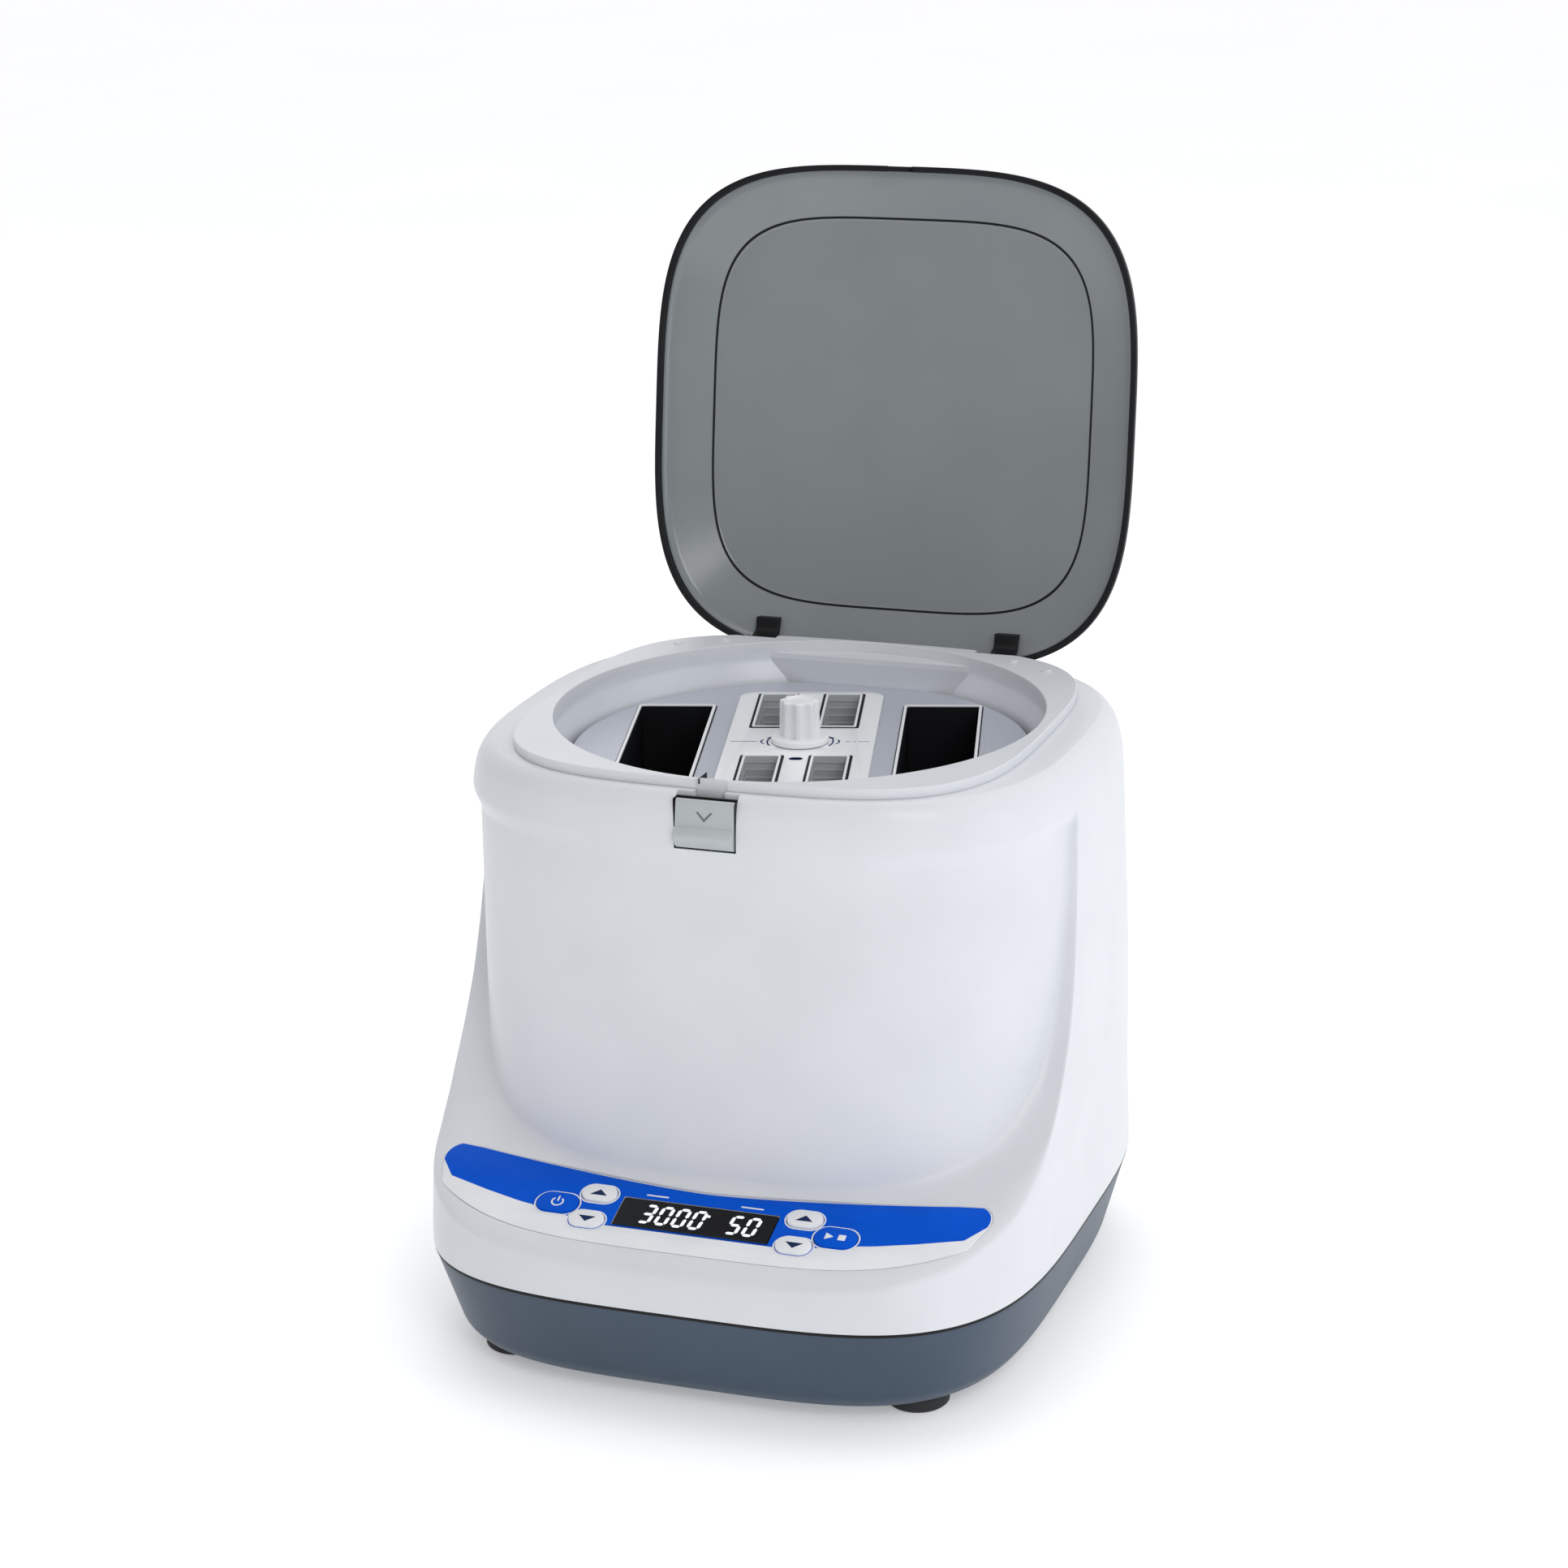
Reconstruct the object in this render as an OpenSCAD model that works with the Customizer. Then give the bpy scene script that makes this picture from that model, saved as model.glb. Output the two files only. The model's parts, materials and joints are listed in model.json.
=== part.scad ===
// Benchtop plate centrifuge with a tinted dished lid, a sloped control ledge
// and a rotor that holds two plates on edge and four strip trays.
// Origin: middle of the footprint's bounding box with the lid open, at the foot bottoms.
// +X is the right-hand side, +Y the back and +Z up. All sizes are in millimetres.

/* [Body] */
// Width of the body at the line where the housing meets the base
body_w = 306; // [290:1:340]
// Depth of the body at the same line
body_d = 328; // [322:1:360]
// Height of the seat that the lid closes on, above the foot bottoms
seat_z = 283; // [262:1:320]
// Height of the grey base pan
pan_h = 43.5; // [36:0.5:52]
// How far the pan tapers in at its bottom edge, each side
pan_taper = 15; // [8:0.5:18]
// Height of the rubber feet
foot_h = 9; // [7:0.5:14]
// Radius of the rubber feet
foot_r = 15; // [10:0.5:18]
// Thickness of the moulded walls
wall = 3; // [2.2:0.1:3.6]

/* [Lid] */
// Width of the lid
lid_w = 255; // [240:1:262]
// Depth of the lid
lid_d = 252; // [246:1:256]
// Height of the dished roof over the rim
lid_rise = 17; // [14:0.5:24]
// Width of the sloped band round the roof
lid_band = 25; // [18:0.5:32]
// Thickness of the lid's skin
lid_wall = 2.5; // [2:0.1:3]
// Angle that the lid opens to
lid_open = 99; // [80:1:104]

/* [Chamber] */
// Radius of the mouth of the chamber
mouth_r = 119; // [112:0.5:119.5]
// Height of the ring round the mouth
ring_h = 5; // [3:0.5:6]
// Depth of the bowl below the seat
bowl_depth = 115; // [108:1:125]

/* [Rotor] */
// Radius of the rotor's top disc
rotor_r = 111; // [109.5:0.5:113]
// Depth of the disc's top face below the seat
rotor_drop = 14.5; // [12:0.5:20]
// Length of a plate pocket, inside
pocket_l = 130; // [129:0.5:133]
// Width of a plate pocket, inside
pocket_w = 36; // [24:0.5:38]
// Depth of a plate pocket, inside
pocket_depth = 88; // [70:1:90]
// Angle that the rotor is parked at
rotor_angle = 15; // [-180:1:180]
// Radius of the motor shaft
shaft_r = 6; // [4:0.5:8]

/* [Panel] */
// Slope of the control ledge, in degrees
panel_slope = 18.3; // [14:0.1:22]
// Width of the display window
display_w = 76.5; // [60:0.5:80]
// Height of the display window, along the slope
display_h = 19; // [14:0.5:20]
// Width of the arrow keys
key_w = 17.3; // [14:0.1:18]
// How far a key stands above the ledge
key_top = 1.2; // [0.9:0.1:1.6]

/* [Latch] */
// Width of the latch button
latch_w = 28.8; // [24:0.2:34]
// Height of the latch button
latch_h = 22; // [18:0.5:24]
// Travel of the latch button
latch_travel = 2; // [1.5:0.1:2.2]

/* [Fits] */
// Radial clearance of a turning fit
run_fit = 0.05; // [0.02:0.01:0.1]
// Clearance between pieces that are put together by hand
gap = 0.4; // [0.3:0.05:0.5]
// Clearance of a piece that slides
run_gap = 0.3; // [0.25:0.05:0.35]

/* [Hidden] */
$fn = 64;
eps = 0.01;
loop_pts = 64;          // points round every soft-cornered outline

// Levels
pan_z = foot_h;
split_z = pan_z + pan_h;          // the housing sits on the pan here
ring_z = seat_z + ring_h;
rotor_z = seat_z - rotor_drop;    // top face of the rotor disc
bowl_floor_z = seat_z - bowl_depth;

// The rotor turns clear of the chamber's mouth, the lid covers the mouth, and the body
// carries the lid: a larger rotor makes room for itself all the way out
rotor_gap = 6;                    // least distance from the rotor to the edge of the mouth
mouth_edge_x = 6;                 // and from the mouth to the lid's side
mouth_edge_y = 7;                 // and to its front and rear edges
shoulder_x = 15;                  // and from the lid's edge to the body's side
shoulder_y = 6;                   // and from the lid's rear edge to the body's back
mouth = max(mouth_r, rotor_r + rotor_gap);

// Outlines: half width, half depth and corner exponent of each soft rectangle
lid_a = max(lid_w / 2, mouth + mouth_edge_x);
lid_b = max(lid_d / 2, mouth + mouth_edge_y);
lid_n = 3.55;
lid_y = 29;                       // middle of the closed lid
body_a = max(body_w / 2, lid_a + shoulder_x);
body_b = max(body_d / 2, lid_y + lid_b + shoulder_y);
body_n = 3.8;
tower_n = 3;

// Hinge line: just under the lid's rim, near its rear edge
hinge_inset = 4.8;
hinge_y = lid_y + lid_b - hinge_inset;
hinge_z = seat_z - 2.3;
hinge_x = 64.5;                   // middle of each hinge arm
arm_w = 12;
ear_w = 3.6;
pin_r = 2;
knuckle_r = 4.6;
bracket_w = arm_w + 2 * ear_w + 2 * gap;
bracket_base = 2.4;
trough_z = hinge_z - 10.5;

// The bounding box with the lid open sets the middle of the footprint
roof_y = hinge_y - (2 * lid_b - hinge_inset - lid_band) * cos(lid_open)
    + (seat_z + lid_rise + lid_wall - hinge_z) * sin(lid_open);
y_shift = -(roof_y - body_b) / 2;

// Chamber
ring_clear = 0.5;                 // between the ring and the closed lid's wall
ring_a = lid_a - lid_wall - ring_clear;
ring_front = lid_y - lid_b + lid_wall + ring_clear;
ring_back = hinge_y - 2.2;
ring_yc = (ring_front + ring_back) / 2;
ring_b = (ring_back - ring_front) / 2;
bowl_y = 26.8;
bowl_wall = 1.5;
bowl_waist_r = mouth - 4.5;      // inside, level with the rotor and below
bowl_r_low = mouth - 6;
waist_z = seat_z - 17;

// Front face of the drum, at its top and where it meets the ledge
drum_front_top = lid_y - lid_b - 7.5;
drum_front_low = drum_front_top - 3.5;

// Control ledge: a plane through this line
panel_y = -(body_b - 42.2);
panel_z = split_z + 36;
membrane_t = 1;
membrane_margin = 23;             // its straight part to the body's side

// Latch
latch_top = seat_z - 3;
latch_front = drum_front_top - 2;
latch_gap = 0.6;
latch_bottom = latch_top - latch_h;
hook_w = 13;
hook_t = lid_wall;
hook_front = lid_y - lid_b;
hook_len = 8;
hook_root = 5;                    // how far the hook reaches up into the lid
notch_h = 3;
notch_depth = 3.4;
bolt_h = notch_h - 2 * run_gap;
bolt_z = seat_z - hook_len + 2 + run_gap;
bolt_x = hook_w / 2 - notch_depth + run_gap;
bolt_l = 15;
bolt_travel = latch_travel * 1.5;

// Rotor
shaft_top_z = rotor_z + 14;
disc_t = 3;
pocket_x = rotor_r - 44.25;       // middle of a pocket
pocket_wall = 2;
lip_w = 4.5;                      // flange that rests on the disc
lip_t = 1.2;
plate_t = 2;                      // raised centre plate
plate_w = 72.4;
plate_l = 172;
window_x = 16.45;
window_w = 19.1;
window_y = 52.1;
window_l = 57.4;
tray_depth = 34;
hub_r = 16;
knob_r = 10.2;
knob_h = 22;
knob_flange_r = 14;
stud_r = 4;

// Motor
motor_r = 36;
motor_h = 66;
motor_z = bowl_floor_z - 23 - motor_h;
motor_plate_t = 4;
motor_plate_w = 132;
damper_x = 54;

// Rear panel: a flat set into the back wall
rear_flat_y = body_b - 4;
rear_flat_x = -62;
rear_flat_w = 92;
rear_flat_z = split_z + 42;
rear_flat_h = 42;
inlet_x = rear_flat_x - 19;
switch_x = rear_flat_x + 27;
switch_tilt = 9;                  // the rocker rests pressed in at its top

smoke = [0.42, 0.45, 0.46, 0.75];

// ---------- outlines ----------

function side(v) = v < 0 ? -1 : 1;
function soft(a, b, n, yc = 0) = [for (i = [0:loop_pts - 1]) let (t = 360 * (i + 0.5) / loop_pts)
    [a * side(cos(t)) * pow(abs(cos(t)), 2 / n), yc + b * side(sin(t)) * pow(abs(sin(t)), 2 / n)]];
// One level of a lofted shell: half width, front edge, rear edge, corner exponent, height
function level(a, front, back, n, z) =
    [for (p = soft(a, (back - front) / 2, n, (back + front) / 2)) [p[0], p[1], z]];

// A closed solid through a list of levels, lowest first
module loft(levels) {
    n = loop_pts;
    last = len(levels) - 1;
    points = [for (l = levels) each l];
    sides = [for (k = [0:last - 1], i = [0:n - 1]) let (j = (i + 1) % n)
        each [[k * n + i, (k + 1) * n + i, (k + 1) * n + j], [k * n + i, (k + 1) * n + j, k * n + j]]];
    bottom = [for (i = [0:n - 1]) i];
    top = [for (i = [n - 1:-1:0]) last * n + i];
    polyhedron(points, concat(sides, [bottom], [top]), convexity = 6);
}

module centred_box(size, at) {
    translate([at[0] - size[0] / 2, at[1] - size[1] / 2, at[2]]) cube(size);
}

module rounded(w, l, r) {
    translate([-w / 2 + r, -l / 2]) square([w - 2 * r, l]);
    translate([-w / 2, -l / 2 + r]) square([w, l - 2 * r]);
    for (sx = [-1, 1], sy = [-1, 1]) translate([sx * (w / 2 - r), sy * (l / 2 - r)]) circle(r);
}

module oval(w, h) {
    e = (w - h) / 2;
    translate([-e, -h / 2]) square([2 * e, h]);
    for (sx = [-1, 1]) translate([sx * e, 0]) circle(h / 2);
}

module placed() { translate([0, y_shift, 0]) children(); }
// Turns what is drawn closed into the open lid
module lid_frame() {
    placed() translate([0, hinge_y, hinge_z]) rotate([-lid_open, 0, 0])
        translate([0, -hinge_y, -hinge_z]) children();
}
module rotor_frame() { placed() translate([0, bowl_y, 0]) rotate([0, 0, rotor_angle]) children(); }
module panel_frame() { placed() translate([0, panel_y, panel_z]) rotate([panel_slope, 0, 0]) children(); }
module screw(head_r, head_h, shank_r, length) {
    cylinder(r = head_r, h = head_h);
    translate([0, 0, -length]) cylinder(r = shank_r, h = length + eps);
}

// ---------- housing and base ----------

// Tower outline at each height, shrunk by a wall on every side
function tower_levels(w, top_z, base_z) = [
    level(body_a - 0.6 - w, drum_front_low - 6 + w, body_b - 0.3 - w, body_n, base_z),
    level(body_a - 0.6 - w, drum_front_low + w, body_b - 0.6 - w, 3.6, split_z + 42),
    level(body_a - 1 - w, drum_front_low + 1.6 + w, body_b - 1.4 - w, 3.3, split_z + 100),
    level(body_a - 2.4 - w, drum_front_top - 0.6 + w, body_b - 3.4 - w, tower_n, seat_z - 38),
    level(body_a - 3.4 - w, drum_front_top + w, body_b - 4.6 - w, tower_n, seat_z - 20 - w),
    level(body_a - 6 - w, drum_front_top + 1 + w, body_b - 6.4 - w, tower_n, seat_z - 9 - w),
    level(body_a - 9 - w, drum_front_top + 2.6 + w, body_b - 9 - w, tower_n, seat_z - 3.6 - w),
    level(body_a - 13 - w, drum_front_top + 5.5 + w, body_b - 12 - w, tower_n, top_z)];
// Inner face of the drum's front near its top, at a distance x from the middle
function drum_inside(x) = let (a = body_a - 6 - wall, b = (body_b - 7.4 - drum_front_top) / 2 - wall)
    drum_front_top + 1 + wall + b * (1 - pow(1 - pow(x / a, tower_n), 1 / tower_n));
// Ledge outline: bulges out to a rounded edge over the front of the base
function ledge_levels(w, base_z) = [
    level(body_a - w, -body_b + w, body_b - w, body_n, base_z),
    level(body_a - 0.1 - w, -body_b + 0.2 + w, body_b - 0.2 - w, body_n, split_z + 9),
    level(body_a - 1 - w, -body_b + 2 + w, body_b - 1 - w, body_n, split_z + 19),
    level(body_a - 3 - w, -body_b + 7 + w, body_b - 2 - w, body_n, split_z + 26),
    level(body_a - 6 - w, -body_b + 20 + w, body_b - 6 - w, body_n, split_z + 130)];

module above_panel(drop) {
    translate([0, panel_y, panel_z]) rotate([panel_slope, 0, 0])
        translate([-2 * body_a, -2 * body_b, -drop]) cube([4 * body_a, 4 * body_b, 200]);
}

module housing_solid(w, top_z, base_z) {
    loft(tower_levels(w, top_z, base_z));
    difference() {
        loft(ledge_levels(w, base_z));
        above_panel(w);
    }
}

module membrane_outline(inset) {
    top_v = 9.3;
    low_v = -32.3;
    half = body_a - membrane_margin - inset;
    polygon(concat(
        [for (i = [-12:12]) let (x = half * i / 12)
            [x, low_v + inset + 27.5 * pow(abs(i / 12), 4)]],
        [for (t = [0:30:90]) [half + 8 * cos(t - 20) - 2, 14 + 9.5 * sin(t - 20) - inset / 2]],
        [for (i = [11:-1:-11]) let (x = half * i / 12)
            [x, top_v - inset + 14.5 * pow(abs(i / 12), 1.5)]],
        [for (t = [90:-30:0]) [-half - 8 * cos(t - 20) + 2, 14 + 9.5 * sin(t - 20) - inset / 2]]));
}

// Keys: place across and along the slope, width, height
arrow_x = display_w / 2 + 4 + key_w / 2;
wide_key_x = arrow_x + key_w / 2 + 9.15;
keys = [
    ["power", [-wide_key_x, -9.4], 20.5, 13],
    ["up_left", [-arrow_x, 0], key_w, 11],
    ["down_left", [-arrow_x - 0.1, -18], key_w, 11],
    ["up_right", [arrow_x, 0], key_w, 11],
    ["down_right", [arrow_x + 0.1, -18], key_w, 11],
    ["start", [wide_key_x, -9.4], 20.5, 13]];
display_v = -9.2;
board_drop = 11.4;                // underside of the control board below the ledge's face
board_t = 1.6;
board_screw_x = wide_key_x + 17.3;

module key_holes(clear, depth, above) {
    for (k = keys) translate([k[1][0], k[1][1], -depth]) linear_extrude(depth + above)
        oval(k[2] + 2 * clear, k[3] + 2 * clear);
}

module upper_housing() color("gainsboro") placed() difference() {
    union() {
        difference() {
            housing_solid(0, seat_z, split_z + gap);
            housing_solid(wall, seat_z - wall, split_z - 1);
        }
        // Floor under the hinge trough
        intersection() {
            loft(tower_levels(0.4, seat_z - 0.4, split_z + 150));
            centred_box([2 * hinge_x + 78, 60, 30], [0, hinge_y + 13, trough_z - wall - bracket_base]);
        }
        // Posts for the control board
        translate([0, panel_y, panel_z]) rotate([panel_slope, 0, 0]) for (sx = [-1, 1])
            translate([sx * board_screw_x, -6, -board_drop + board_t]) cylinder(r = 3.6, h = 8);
        // Flat pad behind the rear sockets
        centred_box([rear_flat_w + 8, 6, rear_flat_h + 8],
            [rear_flat_x, rear_flat_y - 3, rear_flat_z - rear_flat_h / 2 - 4]);
        // Bosses that the base is screwed to
        for (p = boss_points) translate([p[0], p[1], split_z + 2]) {
            cylinder(r = 5, h = boss_h);
            web(p);
        }
    }
    for (p = boss_points) translate([p[0], p[1], split_z + 2 - eps]) cylinder(r = screw_r, h = 20);
    translate([0, panel_y, panel_z]) rotate([panel_slope, 0, 0]) for (sx = [-1, 1])
        translate([sx * board_screw_x, -6, -board_drop]) cylinder(r = screw_r, h = 8);
    translate([0, bowl_y, seat_z - 30]) cylinder(r = mouth + bowl_wall + gap, h = 40, $fn = 96);
    // Hinge trough across the rear shoulder
    centred_box([2 * (hinge_x + 36), 60, 40], [0, hinge_y + 25.5, trough_z]);
    for (sx = [-1, 1]) centred_box([bracket_w + 2 * gap, 26, 40], [sx * hinge_x, hinge_y, trough_z - bracket_base]);
    for (sx = [-1, 1]) translate([sx * hinge_x, hinge_y - 8.5, trough_z - 20]) cylinder(r = screw_r, h = 20);
    // Latch opening and the slot that the lid's hook drops through
    centred_box([latch_w + 2 * wall, 14, latch_h + 2 * wall + 20],
        [0, latch_front + 2.5, latch_bottom - wall]);
    centred_box([hook_w + 2, hook_t + 2, 30], [0, hook_front + hook_t / 2, seat_z - 15]);
    translate([0, hook_front - 0.3, bolt_z - run_gap])
        cube([bolt_x + bolt_l + bolt_travel + 3, hook_t + 0.6, bolt_h + 2 * run_gap]);
    // Flat recess for the rear sockets
    centred_box([rear_flat_w, 20, rear_flat_h], [rear_flat_x, rear_flat_y + 10, rear_flat_z - rear_flat_h / 2]);
    centred_box([28, 30, 21], [inlet_x, rear_flat_y, rear_flat_z - 10.5]);
    centred_box([13.4, 30, 19.4], [switch_x, rear_flat_y, rear_flat_z - 9.7]);
    // Air slots in the back wall
    for (i = [0:8]) centred_box([4, 30, 34], [22 + i * 9, body_b - 4, rear_flat_z - 17]);
    // Seats for the control membrane, the display and the keys
    translate([0, panel_y, panel_z]) rotate([panel_slope, 0, 0]) {
        translate([0, 0, -membrane_t]) linear_extrude(20) membrane_outline(-gap);
        translate([0, display_v, -10]) linear_extrude(20) square([display_w + 2 * gap, display_h + 2 * gap], true);
        key_holes(gap + 0.4, 10, 10);
    }
}

boss_points = [for (sx = [-1, 1], p = [[body_a - 73, -body_b + 32], [body_a - 26, 30], [body_a - 73, body_b - 32]])
    [sx * p[0], p[1]]];
boss_h = 16;
// Rib from a boss to the nearest wall, or up to the ledge for the front ones
module web(p) {
    if (abs(p[1]) < body_b / 2) centred_box([body_a - abs(p[0]) - 2, 2.4, boss_h],
        [side(p[0]) * (body_a - abs(p[0]) - 2) / 2, 0, 0]);
    else centred_box([2.4, body_b - abs(p[1]) - 3, boss_h],
        [0, side(p[1]) * (body_b - abs(p[1]) - 3) / 2, 0]);
}
screw_r = 1.6;
post_top = motor_z - motor_plate_t - 14;

module base_pan() color("slategray") placed() difference() {
    union() {
        difference() {
            loft([
                level(body_a - pan_taper, -body_b + pan_taper, body_b - pan_taper, body_n, pan_z),
                level(body_a - pan_taper + 4, -body_b + pan_taper - 4, body_b - pan_taper + 4, body_n, pan_z + 5),
                level(body_a - 0.4, -body_b + 0.4, body_b - 0.4, body_n, split_z - 1)]);
            loft([
                level(body_a - pan_taper, -body_b + pan_taper, body_b - pan_taper, body_n, pan_z + wall),
                level(body_a - 1 - wall, -body_b + 1 + wall, body_b - 1 - wall, body_n, split_z + 1)]);
        }
        for (p = boss_points) translate([p[0], p[1], pan_z + 1]) cylinder(r = 5, h = split_z - pan_z + 1 - gap);
        for (sx = [-1, 1], sy = [-1, 1])
            translate([sx * damper_x, bowl_y + sy * damper_x, pan_z + 1]) cylinder(r = 11, h = post_top - pan_z - 1);
    }
    for (p = boss_points) translate([p[0], p[1], pan_z - 1]) {
        cylinder(r = screw_r + 0.3, h = pan_h + 10);
        cylinder(r = 4, h = 9);
    }
    for (p = foot_points) translate([p[0], p[1], pan_z - 1]) cylinder(r = screw_r, h = 10);
    for (i = [-4:4]) centred_box([6, 60, 20], [i * 16, -62, pan_z - 5]);
}

foot_points = [for (sx = [-1, 1], p = [[body_a - 52, -body_b + 52], [body_a - 42, body_b - 47]]) [sx * p[0], p[1]]];

module rubber_feet() color("#1b1c1e") placed() for (p = foot_points) translate([p[0], p[1], 0])
    difference() {
        rotate_extrude() polygon([[0, 0], [foot_r - 2, 0], [foot_r, 1.5], [foot_r, foot_h - 2.5],
            [foot_r - 2, foot_h], [0, foot_h]]);
        translate([0, 0, -1]) cylinder(r = 4, h = 4);
        cylinder(r = screw_r, h = foot_h + 1);
    }

module foot_screws() color("silver") placed() for (p = foot_points) translate([p[0], p[1], 3])
    rotate([180, 0, 0]) screw(3.2, 1.6, screw_r, foot_h + 3);

module housing_screws() color("silver") placed() for (p = boss_points) translate([p[0], p[1], pan_z + 8])
    rotate([180, 0, 0]) screw(3, 2, screw_r, pan_h + 8);

// ---------- chamber ----------

module chamber_ring() color("white") placed() difference() {
    translate([0, 0, seat_z]) linear_extrude(ring_h) polygon(soft(ring_a, ring_b, lid_n, ring_yc));
    translate([0, bowl_y, seat_z - 1]) cylinder(r = mouth, h = ring_h + 2, $fn = 96);
    for (sx = [-1, 1]) centred_box([arm_w + 2 * ear_w + 3, 24, 20], [sx * hinge_x, ring_back + 6.5, seat_z - 5]);
}

module chamber_bowl() color("lightgray") placed() translate([0, bowl_y, 0])
    rotate_extrude($fn = 96) polygon([
        [12, bowl_floor_z], [bowl_r_low - 10, bowl_floor_z],
        [bowl_r_low + bowl_wall, bowl_floor_z + 12], [bowl_waist_r + bowl_wall, waist_z - 10],
        [bowl_waist_r + bowl_wall, waist_z], [mouth + bowl_wall, seat_z - 4], [mouth + bowl_wall, seat_z],
        [mouth, seat_z], [mouth, seat_z - 4],
        [bowl_waist_r, waist_z + 0.8], [bowl_waist_r, waist_z - 10], [bowl_r_low, bowl_floor_z + 12],
        [bowl_r_low - 10.5, bowl_floor_z + bowl_wall], [12, bowl_floor_z + bowl_wall]]);

module shaft_boot() color("#222426") placed() translate([0, bowl_y, 0]) rotate_extrude() polygon([
    [shaft_r + 1, bowl_floor_z - 14], [shaft_r + 4, bowl_floor_z - 14], [shaft_r + 4, bowl_floor_z - 5],
    [12 - 0.1, bowl_floor_z - 1.5], [15, bowl_floor_z - 1.5], [15, bowl_floor_z - 0.05],
    [11.9, bowl_floor_z - 0.05], [11.9, bowl_floor_z + 1.6], [shaft_r + 3, bowl_floor_z + 1.6],
    [shaft_r + 1, bowl_floor_z - 4]]);

// ---------- motor ----------

module motor_body() color("dimgray") placed() translate([0, bowl_y, motor_z]) difference() {
    rotate_extrude() polygon([[0, 0], [motor_r - 2, 0], [motor_r, 2], [motor_r, motor_h - 8], [motor_r - 4, motor_h - 4],
        [14, motor_h - 4], [14, motor_h], [0, motor_h]]);
    translate([0, 0, 6]) cylinder(r = shaft_r + run_fit, h = motor_h);
}

module motor_plate() color("silver") placed() translate([0, bowl_y, motor_z - motor_plate_t - eps]) difference() {
    linear_extrude(motor_plate_t) rounded(motor_plate_w, motor_plate_w, 14);
    for (sx = [-1, 1], sy = [-1, 1]) {
        translate([sx * damper_x, sy * damper_x, -1]) cylinder(r = 2.2, h = motor_plate_t + 2);
        translate([sx * 20, sy * 20, -1]) cylinder(r = 2.2, h = motor_plate_t + 2);
    }
}

module motor_dampers() color("#1b1c1e") placed() for (sx = [-1, 1], sy = [-1, 1])
    translate([sx * damper_x, bowl_y + sy * damper_x, post_top]) rotate_extrude() polygon([[0, 0], [9, 0], [9, 3],
        [7, 7], [9, 11], [9, 14 - 2 * eps], [0, 14 - 2 * eps]]);

module motor_screws() color("silver") placed() for (sx = [-1, 1], sy = [-1, 1])
    translate([sx * damper_x, bowl_y + sy * damper_x, motor_z]) screw(4, 2.5, 2.2, 9);

// ---------- control panel ----------

module control_membrane() color("royalblue") panel_frame() difference() {
    translate([0, 0, -membrane_t]) linear_extrude(membrane_t) membrane_outline(0);
    translate([0, display_v, -5]) linear_extrude(10) square([display_w, display_h], true);
    key_holes(gap, 5, 5);
}

module display_window() color("black") panel_frame() translate([0, display_v, -2.6])
    linear_extrude(2.6) square([display_w - 0.2, display_h - 0.2], true);

module display_module() color("darkslategray") panel_frame() translate([0, display_v, -9.4])
    linear_extrude(5.6) square([display_w + 6, display_h + 4], true);

module control_board() color("darkgreen") panel_frame() difference() {
    translate([0, -6, -board_drop]) linear_extrude(board_t) square([2 * board_screw_x + 10, 30], true);
    for (sx = [-1, 1]) translate([sx * board_screw_x, -6, -board_drop - 1]) cylinder(r = screw_r, h = 4);
}

module board_screws() color("silver") panel_frame() for (sx = [-1, 1])
    translate([sx * board_screw_x, -6, -board_drop]) rotate([180, 0, 0]) screw(2.8, 1.6, screw_r, 7);

module key_cap(i) color(i == 0 || i == 5 ? "royalblue" : "white") panel_frame()
    translate([keys[i][1][0], keys[i][1][1], -5.5]) {
        linear_extrude(5.5 + key_top) oval(keys[i][2], keys[i][3]);
        translate([0, 0, -3]) cylinder(r = 2, h = 3 + eps);
    }
module key_power() key_cap(0);
module key_up_left() key_cap(1);
module key_down_left() key_cap(2);
module key_up_right() key_cap(3);
module key_down_right() key_cap(4);
module key_start() key_cap(5);

// ---------- power entry ----------

power_board_at = [-body_a + 58, body_b - 86];
power_board_z = pan_z + 11;
power_board_size = [58, 48];
board_holes = [for (sx = [-1, 1], sy = [-1, 1])
    [power_board_at[0] + sx * (power_board_size[0] / 2 - 4), power_board_at[1] + sy * (power_board_size[1] / 2 - 4)]];

module power_board() color("seagreen") placed() difference() {
    union() {
        centred_box([power_board_size[0], power_board_size[1], board_t],
            [power_board_at[0], power_board_at[1], power_board_z]);
        centred_box([22, 24, 22], [power_board_at[0] - 12, power_board_at[1], power_board_z]);
        for (sy = [-1, 1]) translate([power_board_at[0] + 13, power_board_at[1] + sy * 10, power_board_z])
            cylinder(r = 7, h = 26);
    }
    for (p = board_holes) translate([p[0], p[1], power_board_z - 1]) cylinder(r = screw_r, h = 4);
}

module power_board_screws() color("silver") placed() for (p = board_holes)
    translate([p[0], p[1], power_board_z + board_t]) {
        screw(2.6, 1.6, screw_r, board_t);
        translate([0, 0, pan_z + wall - power_board_z - board_t]) cylinder(r = 2.6, h = power_board_z - pan_z - wall);
    }

module power_inlet() color("#202225") placed() difference() {
    union() {
        centred_box([42, 2, 30], [inlet_x, rear_flat_y + 1, rear_flat_z - 15]);
        centred_box([27, 26, 20], [inlet_x, rear_flat_y - 13, rear_flat_z - 10]);
    }
    centred_box([24, 18, 11], [inlet_x, rear_flat_y - 7, rear_flat_z - 8.6]);
    centred_box([18 + 2 * 0.2, 20, 3.4], [inlet_x, rear_flat_y - 6, rear_flat_z + 4.8]);
}

module fuse_drawer() color("#2a2c30") placed() centred_box([18, 15, 3], [inlet_x, rear_flat_y - 5.3, rear_flat_z + 5]);

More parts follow.
